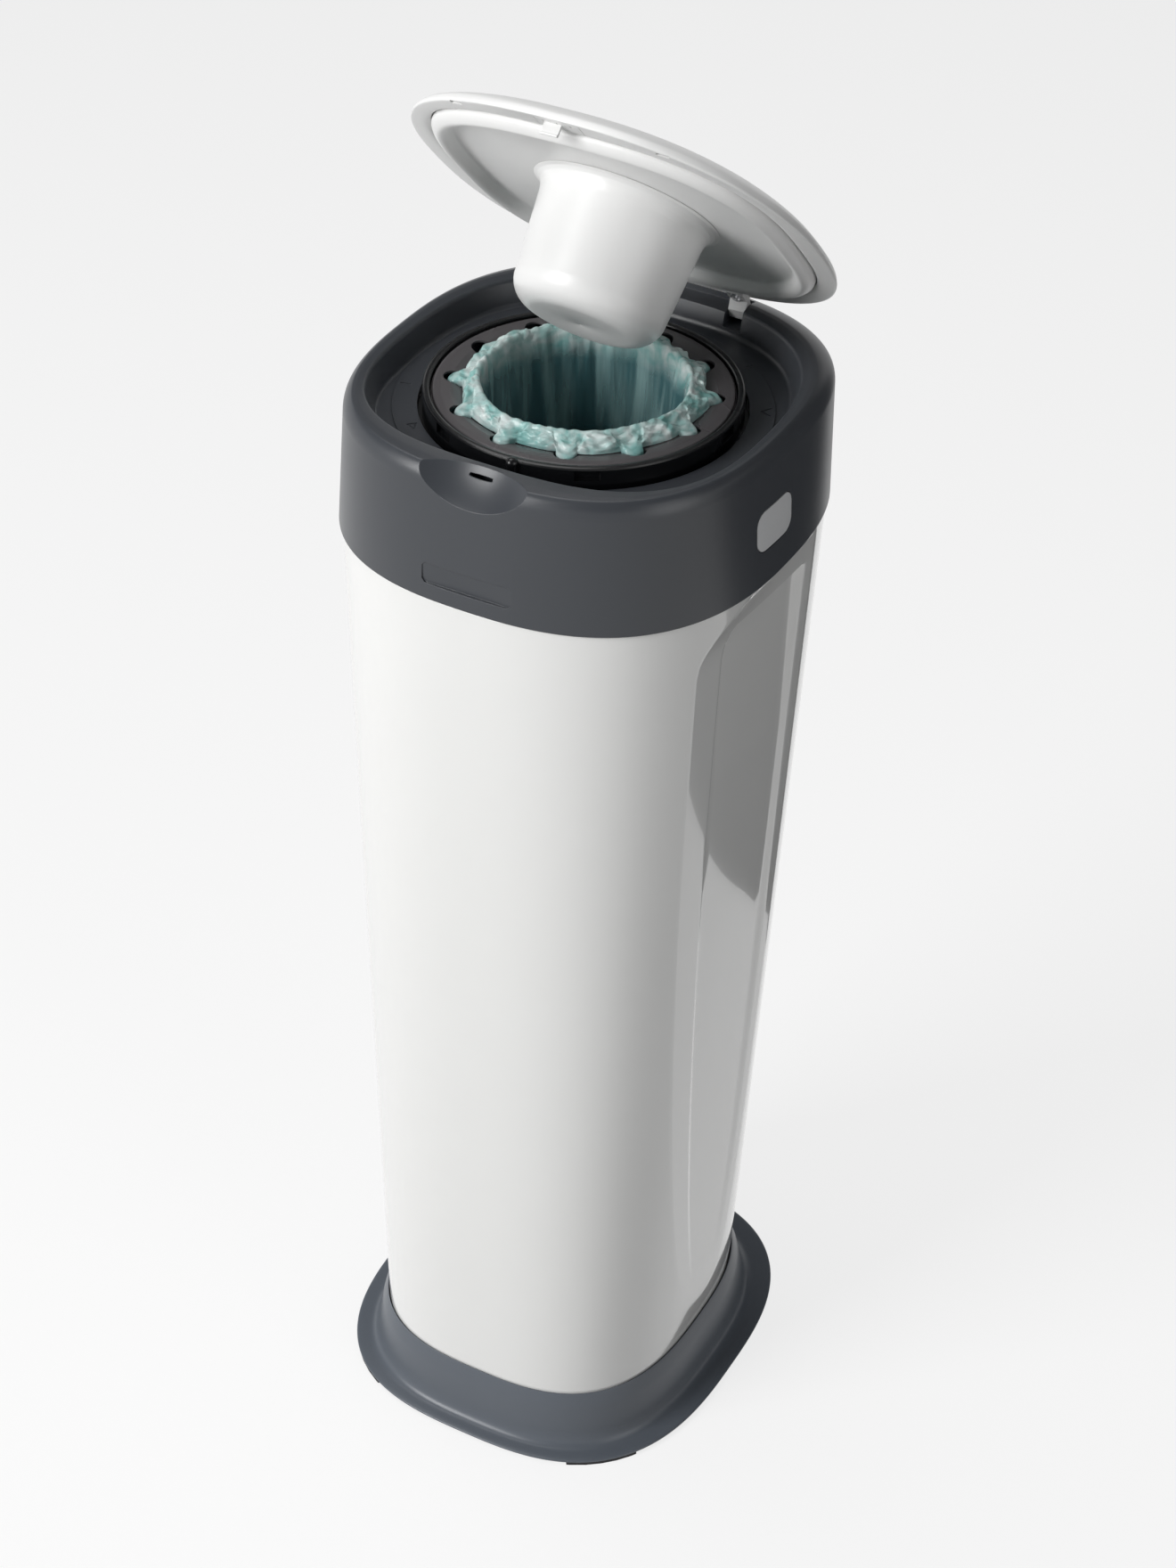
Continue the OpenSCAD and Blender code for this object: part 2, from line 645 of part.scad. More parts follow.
// Turning ring: grip wall with windows, ledge for the cassette, toothed flange
module twist_ring() {
  t = 2;
  color("#1b1d20") {
    difference() {
      union() {
        rotate_extrude() polygon([
          [ledge_r, flange_z], [ledge_r, ledge_z], [ring_bore_r, ledge_z], [ring_bore_r, crest_z - 1],
          [ring_bore_r + 0.5, crest_z - 0.3], [ring_bore_r + 1.4, crest_z], [ring_r - 1.4, crest_z],
          [ring_r - 0.4, crest_z - 0.5], [ring_r, crest_z - 1.5],
          [ring_r, flange_z + flange_t], [flange_r, flange_z + flange_t], [flange_r, flange_z],
          [ring_bore_r + 2, flange_z], [ring_bore_r + 2, ledge_z - t], [ledge_r + t, ledge_z - t],
          [ledge_r + t, flange_z]
        ]);
        translate([0, 0, flange_z]) linear_extrude(flange_t) difference() {
          polygon([
            for (i = [0 : teeth - 1], k = [0, 1])
              let (a = 360 / teeth * (i + 0.85 * k), r = flange_r + (k == 0 ? 0.2 : tooth_h))
              [r * cos(a), r * sin(a)]
          ]);
          circle(flange_r - 1);
        }
        rotate(-86.4) translate([ring_r + 0.6, 0, crest_z - 2.2]) {
          sphere(3.6);
          translate([0, 0, -6]) cylinder(r = 3.6, h = 6);
        }
      }
      for (i = [0 : window_n - 1]) rotate(360 / window_n * i - 4.5) rotate_extrude(angle = 9)
        translate([ring_r - 2.6, crest_z - 8]) square([4, 6.2]);
    }
  }
}

module cassette_tray() {
  w = tray_wall;
  color("#33363b") rotate_extrude() polygon([
    [cassette_r, tray_top], [cassette_r, tray_z], [body_r, tray_z], [body_r, tray_floor],
    [throat_r, tray_floor], [throat_r, lip_z - 0.5], [throat_r + 0.5, lip_z],
    [throat_r + w - 0.5, lip_z], [throat_r + w, lip_z - 0.5],
    [throat_r + w, tray_floor + w], [body_r - w, tray_floor + w], [body_r - w, tray_top]
  ]);
}

// Cassette cover: a domed ring of petals whose tips curve down to the film
petal_web = 0.64;
module cassette_cover() {
  z = cover_z;
  r = cassette_r;
  reach = r - throat_r - tray_wall - 2.6;
  root = r - 6;
  petal = [
    [0.5, 0.8], [1.8, 1.4], [5, 1.5], [10.4, 0.9], [16, -1.1], [20, -3.8], [21.6, -7],
    [20.2, -7.4], [18.5, -4.6], [15, -2.2], [10, -0.5], [5, 0.1], [2.4, 0]
  ];
  color("#4a4547") difference() {
    rotate_extrude() polygon(concat(
      [[r, tray_top], [r, z - 0.4]],
      [for (p = petal) [r - p[0] * (p[0] > 4 ? reach / 21.6 : 1), z + p[1]]],
      [[r - 1.8, z - 1], [r - 1.8, tray_top]]
    ));
    for (i = [0 : petals - 1]) rotate(360 / petals * i + 21) translate([0, 0, z - 9])
      linear_extrude(12) union() {
        half = 180 / petals * (1 - petal_web);
        polygon([
          for (p = [[throat_r, -0.7], [root, -1], [root, 1], [throat_r, 0.7]])
            [p[0] * cos(half * p[1]), p[0] * sin(half * p[1])]
        ]);
        translate([root - 2.5, 0]) circle(root * sin(half) * 1.02);
      }
  }
}

// Stored film: pleated ring of folds in the tray
module film_pack() {
  pleats = 6;
  low = tray_floor + tray_wall;
  step = (cassette_h - 7) / pleats;
  r0 = throat_r + tray_wall + 0.4;
  r1 = body_r - tray_wall - 0.4;
  color("#7fc4bd") rotate_extrude($fn = 48) polygon(concat(
    [for (i = [0 : 2 * pleats]) [r1 - 1.6 * (i % 2), low + step * i / 2]],
    [for (i = [2 * pleats : -1 : 0]) [r0 + 1.6 * (i % 2), low + step * i / 2]]
  ));
}

// Film sleeve: over the lip, down the throat, through the gripper and closed by a knot
film_t = 0.8;
module film_sleeve() {
  c = throat_r + film_over;
  g = housing_floor;
  crest = rim_h + 1.1;
  t = throat_r - 1.6;
  side = [
    [c + 14, cover_z + 2.2], [c + 8, cover_z + 2], [c + 3.4, cover_z + 2.6], [c + 2.6, crest - 3],
    [c + 1.4, crest - 0.8], [c, crest], [c - 1.6, crest - 1], [t, crest - 4], [t - 0.6, crest - 22],
    [t - 2, g + 24], [t - 4, g + 6], [t - 8.6, g - 1.6], [t - 13.4, g - 4.2], [t - 23.2, g - 10.8],
    [t - 28.8, g - 21], [t - 32, g - 50], [t - 34, g - 72], [t - 44, g - 88], [t - 51, g - 92]
  ];
  tail = [
    [3.4, g - 96], [6.6, g - 99], [6.6, g - 104], [3.6, g - 107], [8, g - 122], [7, g - 122], [0, g - 112]
  ];
  n = len(side);
  color("#a9dcd6", 0.8) rotate_extrude($fn = 60) polygon(concat(
    side, tail, [[0, g - 92 + film_t]],
    [for (i = [n - 1 : -1 : 6]) side[i] + [-film_t, film_t * 0.4]],
    [[c, crest + film_t]],
    [for (i = [4 : -1 : 3]) side[i] + [film_t, film_t * 0.7]],
    [[c + 4.2, cover_z + 3.4], [c + 8, cover_z + 2.8], [c + 14, cover_z + 3]]
  ));
}

// Lid, each piece given in its closed place inside swing_lid()
band_edge = grow(liner_edge, gap);
catch_y = scoop_at[1] + sqrt(pow(scoop_r, 2) - pow(scoop_at[2] - rim_h + 6, 2) - 36) - 0.5;
catch_x0 = -10;
catch_w = 26;
flange_seat = lid_z + 2;
lid_screw_r = 1.3;
function crown(f, k) = level(lid_z + 2 + (lid_rise - 2) * k, mix(disc(1), lid_edge, f));

module at_lid_screws() {
  for (s = [-1, 1], y = [17.3, 12.2]) translate([s * arm_mid, hinge_y - y, 0]) children();
}

module lid_shell() {
  z = lid_z;
  color("#eceded") swing_lid() difference() {
    loft([
      crown(0.2, 0.87), crown(0.45, 0.815), crown(0.66, 0.68), crown(0.8, 0.51), level(z + 8, band_edge),
      level(z, band_edge), level(z, grow(lid_edge, -0.9)), level(z + 0.6, lid_edge), crown(1, 0),
      crown(0.985, 0.175), crown(0.94, 0.35), crown(0.85, 0.565), crown(0.7, 0.775), crown(0.5, 0.925),
      crown(0.25, 0.99), crown(0.08, 1)
    ]);
    translate([catch_x0 - gap, 2.2 - lid_d / 2, z - 1]) cube([catch_w + 2 * gap, 10.3, 3.3]);
    at_lid_screws() translate([0, 0, z - 1]) cylinder(r = lid_screw_r + pin_play, h = 6);
    for (x = [35, 65], s = [-1, 1]) translate([s * x, 0, z - 1]) rotate(s * x * 0.38)
      translate([-3.5, 7.5 - lid_d / 2 + x * x / 1250, 0]) cube([7, 2.6, 3]);
  }
}

// Liner: a sealing bead round the edge, then a flat panel with a hole for the plunger
module lid_liner() {
  z = lid_z;
  o = liner_edge;
  hub = [62, 62, 62, 2, 2, plunger_y];
  hole = [plunger_r + 2, plunger_r + 2, plunger_r + 2, 2, 2, plunger_y];
  steps = [
    [0, 0.3], [0, 4], [-2, 4], [-3.2, -0.5], [-5.6, -3], [-7.6, -1.8], [-10.4, 4.5],
    [-12, 2.5], [-9, -3.5], [-5.5, -5], [-2, -2.5]
  ];
  bead = [for (p = steps) level(z + p[1], grow(o, p[0]))];
  color("#dcdedd") swing_lid() loft(concat(
    [for (i = [0 : 6]) bead[i]],
    [level(z + 4.2, hub), level(z + 4, hole), level(z + 2, hole), level(z + 2.2, hub)],
    [for (i = [7 : 10]) bead[i]]
  ), loop = true);
}

module plunger_cup() {
  w = 2.2;
  c = 16;
  r = plunger_r;
  flange = throat_r - plunger_y - plunger_play;
  z = flange_seat - 0.1;
  low = lid_z - plunger_h;
  base_r = r - 0.067 * (plunger_h - c);
  function arc(q, a) = [base_r - c + q * cos(a), low + c - q * sin(a)];
  color("#f0f1f1") swing_lid() translate([0, plunger_y, 0]) rotate_extrude() polygon(concat(
    [[flange, z], [flange, z - 1.8]],
    [[r + 5, z - 1.9], [r + 2, z - 3.2], [r + 0.4, z - 6.2], [r - 0.2, z - 9]],
    [for (a = [0 : 15 : 90]) arc(c, a)],
    [[0, low], [0, low + w]],
    [for (a = [90 : -15 : 0]) arc(c - w, a)],
    [[r - w - 0.2, z - 9], [r - w + 0.2, z - 6], [r - w + 0.4, z]]
  ));
}

module lid_catch() {
  z = lid_z;
  color("#d5d7d6") swing_lid() difference() {
    union() {
      translate([catch_x0, 2.5 - lid_d / 2, z]) cube([catch_w, 9.7, 2]);
      translate([-5, catch_y - 1.6, rim_h - 5.6]) cube([10, 1.6, z - rim_h + 5.8]);
      translate([-5, catch_y - 1.6, rim_h - 5.6]) rotate([0, 90, 0]) cylinder(r = 0.8, h = 10);
    }
    for (x = [-5, 3, 11]) translate([x, 4.4 - lid_d / 2, z - 1]) cylinder(r = 0.9, h = 4);
  }
}

module lid_screws() {
  color("silver") swing_lid() at_lid_screws() translate([0, 0, lid_z - 3.4]) screw(lid_screw_r, 2.3, 1.4, 7);
}

module hinge_arm() {
  y = hinge_y;
  z = lid_z;
  swing_lid() difference() {
    translate([arm_in, 0, 0]) rotate([90, 0, 90]) linear_extrude(arm_out - arm_in) union() {
      polygon([
        [y - 20, z], [y - 20, z - 2.4], [y - 19, z - 3.4], [y - 9.4, z - 3.4], [y - 6.4, hinge_z - 1.6],
        [y - 2, hinge_z - knuckle_r + 0.5], [y, hinge_z], [y + 0.5, hinge_z + knuckle_r - 0.1],
        [y - 4, z - 2.2], [y - 7, z - 1.2], [y - 8.6, z]
      ]);
      translate([y, hinge_z]) circle(knuckle_r, $fn = 64);
    }
    translate([arm_in - 1, y, hinge_z]) rotate([0, 90, 0])
      cylinder(r = pin_r + 0.05, h = arm_out - arm_in + 2);
    at_lid_screws() translate([0, 0, z - 6]) cylinder(r = lid_screw_r + 0.2, h = 8);
  }
}

module hinge_arm_right() { color("#b9bcbd") hinge_arm(); }
module hinge_arm_left() { color("#b9bcbd") mirror([1, 0, 0]) hinge_arm(); }

foot();
foot_pads();
foot_screws();
tub();
collar();
ring_housing();
housing_screws();
click_springs();
film_gripper();
cutter_guard();
cutter_blade();
hinge_pins();
button_spring_right();
button_spring_left();
release_button_right();
release_button_left();
twist_ring();
cassette_tray();
cassette_cover();
film_pack();
film_sleeve();
lid_shell();
lid_liner();
plunger_cup();
lid_catch();
lid_screws();
hinge_arm_right();
hinge_arm_left();
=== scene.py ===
# %% [markdown]
# This script dresses a nappy bin. The bin is a tall white tub on a dark flared foot. Its dark head
# holds a black turning ring, a round film cassette and a white lid that stands half open.
# The solids come from CAD as a fixed frame. Blender adds smooth shells, soft film, materials and light.

# %% Load the CAD frame
import json
import math

import bmesh
import bpy
import numpy as np
from mathutils import Matrix, Vector

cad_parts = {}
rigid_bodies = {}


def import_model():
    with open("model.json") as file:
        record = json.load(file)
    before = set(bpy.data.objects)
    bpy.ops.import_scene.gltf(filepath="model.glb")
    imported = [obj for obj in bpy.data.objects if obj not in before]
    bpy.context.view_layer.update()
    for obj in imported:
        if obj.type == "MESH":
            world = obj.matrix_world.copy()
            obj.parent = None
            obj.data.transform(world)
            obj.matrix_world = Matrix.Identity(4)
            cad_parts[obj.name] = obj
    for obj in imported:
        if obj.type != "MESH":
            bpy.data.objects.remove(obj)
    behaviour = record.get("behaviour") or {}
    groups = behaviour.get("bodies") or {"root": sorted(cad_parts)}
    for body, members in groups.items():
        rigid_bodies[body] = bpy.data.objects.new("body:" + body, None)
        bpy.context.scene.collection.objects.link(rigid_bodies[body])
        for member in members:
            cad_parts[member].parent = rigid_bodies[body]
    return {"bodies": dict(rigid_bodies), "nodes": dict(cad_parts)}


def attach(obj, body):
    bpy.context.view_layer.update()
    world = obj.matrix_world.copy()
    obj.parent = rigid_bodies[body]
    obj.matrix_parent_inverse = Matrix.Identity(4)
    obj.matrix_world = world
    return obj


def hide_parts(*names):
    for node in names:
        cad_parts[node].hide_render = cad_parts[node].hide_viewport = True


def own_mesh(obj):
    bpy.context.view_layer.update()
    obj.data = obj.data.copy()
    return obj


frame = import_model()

nodes = frame["nodes"]
kept = set(nodes.values()) | set(frame["bodies"].values())
for extra in [o for o in bpy.data.objects if o not in kept]:
    bpy.data.objects.remove(extra)
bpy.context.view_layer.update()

# %% [markdown]
# Most moulded shells of this bin have the same kind of outline: rounder than a square, squarer than
# an ellipse. Blender has no such curve, so a formula gives it. One list of six numbers describes an
# outline: half width, reach to the front, reach to the rear, squareness in front and at the rear, and
# the middle's place front to back. Sizes here are millimetres, turned to metres when a mesh is made.

# %% Outlines and rings
MM = 0.001
AROUND = 240


def squircle(width, depth, square, middle):
    return np.array([width / 2, depth / 2, depth / 2, square, square, middle], float)


def disc(radius, middle=0.0):
    return np.array([radius, radius, radius, 2, 2, middle], float)


def grow(outline, by):
    return outline + by * np.array([1, 1, 1, 0, 0, 0])


def mix(a, b, t):
    return a + (b - a) * t


def ramp(x, a, b):
    return min(1.0, max(0.0, (x - a) / (b - a)))


def spots(outline, turns):
    c, s = np.cos(turns), np.sin(turns)
    square = np.where(s < 0, outline[3], outline[4])
    reach = np.where(s < 0, outline[1], outline[2])
    x = outline[0] * np.sign(c) * np.abs(c) ** (2 / square)
    y = outline[5] + reach * np.sign(s) * np.abs(s) ** (2 / square)
    return np.column_stack([x, y])


def even_turns(outline, count):
    """Angles that walk round the outline in even steps."""
    fine = np.linspace(0, 2 * math.pi, 7201)
    walked = np.concatenate([[0], np.cumsum(np.hypot(*np.diff(spots(outline, fine), axis=0).T))])
    return np.interp(np.arange(count) / count * walked[-1], walked, fine)


TURNS = even_turns(squircle(240, 250, 2.6, 0), AROUND)


def ring(outline, z):
    flat = spots(outline, TURNS)
    return np.column_stack([flat, np.full(len(flat), z)])


# %% [markdown]
# A moulded edge is never sharp. The shells below are given by a path of a few outlines, each at its
# height. Before the skin is made, every corner of that path is replaced by a small curve, as a
# toolmaker rounds the steel. That costs less than a bevel modifier and never breaks a surface.

# %% Rounded paths and skins
def step_size(v):
    return math.hypot(np.abs(v[:3]).mean() + abs(v[5]) * 0.3, v[6])


def eased(path, radius, steps=4, loop=False):
    keys = [np.append(o, z) for o, z in path]
    out = []
    for i, p in enumerate(keys):
        if not loop and i in (0, len(keys) - 1):
            out.append(p)
            continue
        before, after = keys[i - 1] - p, keys[(i + 1) % len(keys)] - p
        cut_a = min(radius / max(step_size(before), 1e-6), 0.45)
        cut_b = min(radius / max(step_size(after), 1e-6), 0.45)
        for t in np.linspace(0, 1, steps + 1):
            out.append(p + (1 - t) ** 2 * cut_a * before + t * t * cut_b * after)
    return [(v[:6], v[6]) for v in out]


def smooth_by_angle(obj, degrees=32):
    mesh = obj.data
    mesh.polygons.foreach_set("use_smooth", [True] * len(mesh.polygons))
    mesh.set_sharp_from_angle(angle=math.radians(degrees))


def add_mesh(name, points, faces, smooth=32):
    mesh = bpy.data.meshes.new(name)
    mesh.from_pydata([tuple(p) for p in np.asarray(points) * MM], [], faces)
    obj = bpy.data.objects.new(name, mesh)
    bpy.context.scene.collection.objects.link(obj)
    tidy = bmesh.new()
    tidy.from_mesh(mesh)
    bmesh.ops.recalc_face_normals(tidy, faces=tidy.faces)
    tidy.to_mesh(mesh)
    tidy.free()
    smooth_by_angle(obj, smooth)
    return obj


def skin(name, rings, loop=False, ends=True, smooth=32):
    n, m = len(rings[0]), len(rings)
    faces = []
    for j in range(m if loop else m - 1):
        low, up = j * n, (j + 1) % m * n
        faces += [(low + i, low + (i + 1) % n, up + (i + 1) % n, up + i) for i in range(n)]
    if ends and not loop:
        faces += [tuple(range(n)), tuple(range((m - 1) * n, m * n))]
    return add_mesh(name, np.vstack(rings), faces, smooth)


def shell(name, path, radius, loop=False, steps=4, smooth=32):
    return skin(name, [ring(o, z) for o, z in eased(path, radius, steps, loop)], loop, smooth=smooth)


# %% [markdown]
# Openings and dips are cut with booleans: a cutter solid is subtracted, then thrown away. The exact
# solver is slower than the fast one, but it leaves clean edges on curved skins.

# %% Cutting tools
def boolean(obj, other, kind):
    step = obj.modifiers.new("cut", "BOOLEAN")
    step.operation = kind
    step.solver = "EXACT"
    step.object = other
    graph = bpy.context.evaluated_depsgraph_get()
    mesh = bpy.data.meshes.new_from_object(obj.evaluated_get(graph))
    obj.modifiers.clear()
    old, obj.data = obj.data, mesh
    bpy.data.meshes.remove(old)
    bpy.data.objects.remove(other)
    smooth_by_angle(obj)
    return obj


def block(low, high):
    corners = [(x, y, z) for x in (low[0], high[0]) for y in (low[1], high[1]) for z in (low[2], high[2])]
    faces = [(0, 1, 3, 2), (4, 6, 7, 5), (0, 4, 5, 1), (2, 3, 7, 6), (0, 2, 6, 4), (1, 5, 7, 3)]
    return add_mesh("block", corners, faces)


def ball(centre, radius, around=160, up=80):
    rings = []
    for a in np.linspace(-math.pi / 2 + 0.01, math.pi / 2 - 0.01, up):
        t = np.arange(around) / around * 2 * math.pi
        flat = radius * math.cos(a)
        rings.append(np.column_stack([centre[0] + flat * np.cos(t), centre[1] + flat * np.sin(t),
                                      np.full(around, centre[2] + radius * math.sin(a))]))
    return skin("ball", rings)


def rounded_plate(wide, tall, corner, x0, x1, y, z, curve=10):
    """A plate with round corners that stands across X."""
    flat = []
    for quarter in range(4):
        sx, sz = [(1, 1), (-1, 1), (-1, -1), (1, -1)][quarter]
        for a in np.linspace(0, math.pi / 2, curve):
            turn = a + quarter * math.pi / 2
            flat.append((y + sx * (wide / 2 - corner) + corner * math.cos(turn),
                         z + sz * (tall / 2 - corner) + corner * math.sin(turn)))
    return skin("plate", [np.array([(x, p, q) for p, q in flat]) for x in (x0, x1)])


# %% [markdown]
# Moulded plastic looks real when three things vary a little: its colour, its gloss, and its surface,
# which carries the fine grain of the mould. All three come from noise. A Bevel node softens the edges
# that the mesh leaves hard, so that each edge catches a thin line of light.

# %% Material helpers
def new_material(name):
    material = bpy.data.materials.new(name)
    material.use_nodes = True
    tree = material.node_tree
    tree.nodes.clear()
    out = tree.nodes.new("ShaderNodeOutputMaterial")
    shader = tree.nodes.new("ShaderNodeBsdfPrincipled")
    tree.links.new(shader.outputs[0], out.inputs["Surface"])
    return material, tree, shader


def node(tree, kind, **values):
    made = tree.nodes.new(kind)
    for key, value in values.items():
        if hasattr(made, key):
            setattr(made, key, value)
        else:
            made.inputs[key.replace("_", " ")].default_value = value
    return made


def from_bytes(r, g, b):
    def line(v):
        v /= 255
        return v / 12.92 if v <= 0.04045 else ((v + 0.055) / 1.055) ** 2.4
    return line(r), line(g), line(b), 1


def plastic(name, colour, rough, grain_mm=0.5, grain=0.02, edge_mm=0.35, uneven=0.06, coat=0.0):
    material, tree, shader = new_material(name)
    link = tree.links.new
    place = tree.nodes.new("ShaderNodeTexCoord")
    cloudy = node(tree, "ShaderNodeTexNoise", Scale=18.0, Detail=4.0)
    fine = node(tree, "ShaderNodeTexNoise", Scale=1000 / grain_mm, Detail=3.0)
    link(place.outputs["Object"], cloudy.inputs["Vector"])
    link(place.outputs["Object"], fine.inputs["Vector"])
    tone = node(tree, "ShaderNodeMapRange", To_Min=1 - uneven, To_Max=1 + uneven)
    tint = node(tree, "ShaderNodeMix", data_type="RGBA", blend_type="MULTIPLY")
    tint.inputs[0].default_value = 1
    tint.inputs[6].default_value = colour
    link(cloudy.outputs["Fac"], tone.inputs["Value"])
    link(tone.outputs[0], tint.inputs[7])
    link(tint.outputs[2], shader.inputs["Base Color"])
    gloss = node(tree, "ShaderNodeMapRange", To_Min=rough * 0.88, To_Max=min(1, rough * 1.14))
    link(cloudy.outputs["Fac"], gloss.inputs["Value"])
    link(gloss.outputs[0], shader.inputs["Roughness"])
    edge = node(tree, "ShaderNodeBevel", Radius=edge_mm * MM)
    edge.samples = 4
    bump = node(tree, "ShaderNodeBump", Strength=grain, Distance=grain_mm * MM)
    link(fine.outputs["Fac"], bump.inputs["Height"])
    link(edge.outputs[0], bump.inputs["Normal"])
    link(bump.outputs[0], shader.inputs["Normal"])
    shader.inputs["Coat Weight"].default_value = coat
    return material


def paint(obj, material):
    obj.data.materials.clear()
    obj.data.materials.append(material)


def dress(obj, material, body, slot, *replaced):
    """Give a new piece its finish, the body it rides on and the CAD nodes it stands for."""
    paint(obj, material)
    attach(obj, body)
    if replaced:
        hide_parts(*replaced)
    print(obj.name, len(obj.data.vertices), "points")
    return obj


# %% Plastics
white_gloss = plastic("white_gloss", from_bytes(243, 243, 241), 0.12, 1.2, 0.006, 0.5, 0.012, 0.8)
lid_white = plastic("lid_white", from_bytes(240, 240, 239), 0.3, 1.0, 0.01, 0.4, 0.012)
liner_white = plastic("liner_white", from_bytes(240, 240, 239), 0.36, 0.8, 0.02, 0.35, 0.015)
collar_grey = plastic("collar_grey", from_bytes(60, 63, 68), 0.32, 0.45, 0.05, 0.5, 0.04)
foot_grey = plastic("foot_grey", from_bytes(92, 98, 106), 0.34, 0.45, 0.05, 0.5, 0.04)
ring_black = plastic("ring_black", from_bytes(14, 15, 17), 0.26, 0.5, 0.04, 0.4, 0.05)
cassette_grey = plastic("cassette_grey", from_bytes(50, 53, 58), 0.42, 0.5, 0.04, 0.3, 0.05)
petal_grey = plastic("petal_grey", from_bytes(78, 75, 77), 0.26, 0.5, 0.04, 0.3, 0.06)
button_grey = plastic("button_grey", from_bytes(226, 227, 228), 0.34, 0.5, 0.03, 0.4, 0.02)
housing_grey = plastic("housing_grey", from_bytes(40, 42, 46), 0.5, 0.6, 0.08, 0.3, 0.05)
gripper_grey = plastic("gripper_grey", from_bytes(200, 204, 208), 0.38, 0.5, 0.03, 0.3, 0.02)
cutter_teal = plastic("cutter_teal", from_bytes(47, 111, 118), 0.36, 0.5, 0.03, 0.3, 0.03)
rubber_black = plastic("rubber_black", from_bytes(26, 26, 28), 0.72, 0.7, 0.15, 0.3, 0.08)

# %% Steel
def steel(name, colour, rough):
    material, tree, shader = new_material(name)
    link = tree.links.new
    place = tree.nodes.new("ShaderNodeTexCoord")
    stretch = node(tree, "ShaderNodeMapping", Scale=(60, 60, 1400))
    lines = node(tree, "ShaderNodeTexNoise", Scale=1.0, Detail=5.0)
    gloss = node(tree, "ShaderNodeMapRange", To_Min=rough * 0.7, To_Max=rough * 1.3)
    bump = node(tree, "ShaderNodeBump", Strength=0.08, Distance=0.0002)
    link(place.outputs["Object"], stretch.inputs["Vector"])
    link(stretch.outputs[0], lines.inputs["Vector"])
    link(lines.outputs["Fac"], gloss.inputs["Value"])
    link(gloss.outputs[0], shader.inputs["Roughness"])
    link(lines.outputs["Fac"], bump.inputs["Height"])
    link(bump.outputs[0], shader.inputs["Normal"])
    shader.inputs["Base Color"].default_value = colour
    shader.inputs["Metallic"].default_value = 1
    return material


zinc_steel = steel("zinc_steel", (0.6, 0.61, 0.63, 1), 0.3)

# %% [markdown]
# Small CAD pieces whose solids already have the right shape keep their mesh, and only get a finish.

# %% Finishes for the pieces that stay as CAD made them
KEPT = {
    "foot_pads": rubber_black, "foot_screws": zinc_steel, "ring_housing": housing_grey,
    "housing_screws": zinc_steel, "click_springs": zinc_steel, "film_gripper": gripper_grey,
    "cutter_guard": cutter_teal, "cutter_blade": zinc_steel, "hinge_pins": zinc_steel,
    "twist_ring": ring_black,
    "cassette_tray": cassette_grey,
    "lid_catch": liner_white, "lid_screws": zinc_steel, "hinge_arm_right": liner_white,
    "hinge_arm_left": liner_white,
}
for name, finish in KEPT.items():
    paint(nodes[name], finish)
print("finished", len(KEPT), "CAD pieces")

# %% [markdown]
# The driving sizes of the bin repeat those of the CAD source, so each new shell lies on its solid.
# The tub's side recess is the exception. It follows the photograph, up to 6 mm away from the solid.

# %% Driving sizes, in millimetres
rim_h = 718.3
shoulder_h = 638.4
foot_h = 45.3
collar_z = shoulder_h + 0.3
wall_z = rim_h - 11.6
floor_z = rim_h - 16.5
deck_under = floor_z - 2.5
rim_crease = squircle(237, 247, 2.6, 3)
wall_top = squircle(249.2, 269.6, 2.6, 9)
collar_foot = squircle(256.2, 272.6, 2.55, 6.5)
bowl_lip = np.array([112.5, 104.5, 118.8, 2.9, 2.5, 0])
bowl_foot = grow(bowl_lip, -5.2)
tub_foot = squircle(204, 225, 2.8, -4)
tub_top = grow(collar_foot, -1.6)
foot_edge = squircle(251, 278.5, 2.8, 4)
pad_h = 2.2
tub_floor = 8.0


def wall_at(z):
    return mix(collar_foot, wall_top, (z - collar_z) / (wall_z - collar_z))


def tub_at(z):
    return mix(tub_foot, tub_top, (z - foot_h) / (shoulder_h - foot_h))


# %% [markdown]
# The foot is one dark moulding: a skirt that flares into a flange, and inside it a tray for the tub.
# Its section is drawn once as a path and carried round the outline.

# %% Foot
def skirt(share, z):
    return mix(tub_foot, foot_edge, share), z


def tray(z, out):
    return grow(tub_at(z), out), z


foot_path = [
    tray(tub_floor - 2.5, 0.5), tray(tub_floor - 2.5, 3.1), tray(foot_h - 9, 3.1), skirt(0.16, foot_h - 17),
    skirt(0.26, 9), skirt(0.40, pad_h), skirt(1, pad_h), skirt(1, pad_h + 1.6), skirt(0.9, pad_h + 2.1),
    skirt(0.58, pad_h + 2.7), skirt(0.46, pad_h + 4.2), skirt(0.38, pad_h + 7), skirt(0.32, pad_h + 12),
    skirt(0.26, foot_h - 21), skirt(0.19, foot_h - 10), skirt(0.10, foot_h - 3.2), skirt(0.05, foot_h - 0.4),
    tray(foot_h, 0.8), tray(foot_h - 1, 0.5), tray(tub_floor, 0.5),
]
foot_shell = shell("foot_shell", foot_path, 3.0, steps=5)

# %% Ribs under the foot
ring_foot_r = 62


def tube(outer, inner, low, high, around=128):
    t = np.arange(around) / around * 2 * math.pi
    rings = [np.column_stack([r * np.cos(t), r * np.sin(t), np.full(around, z)])
             for r, z in ((outer, low), (outer, high), (inner, high), (inner, low))]
    return skin("tube", rings, loop=True)


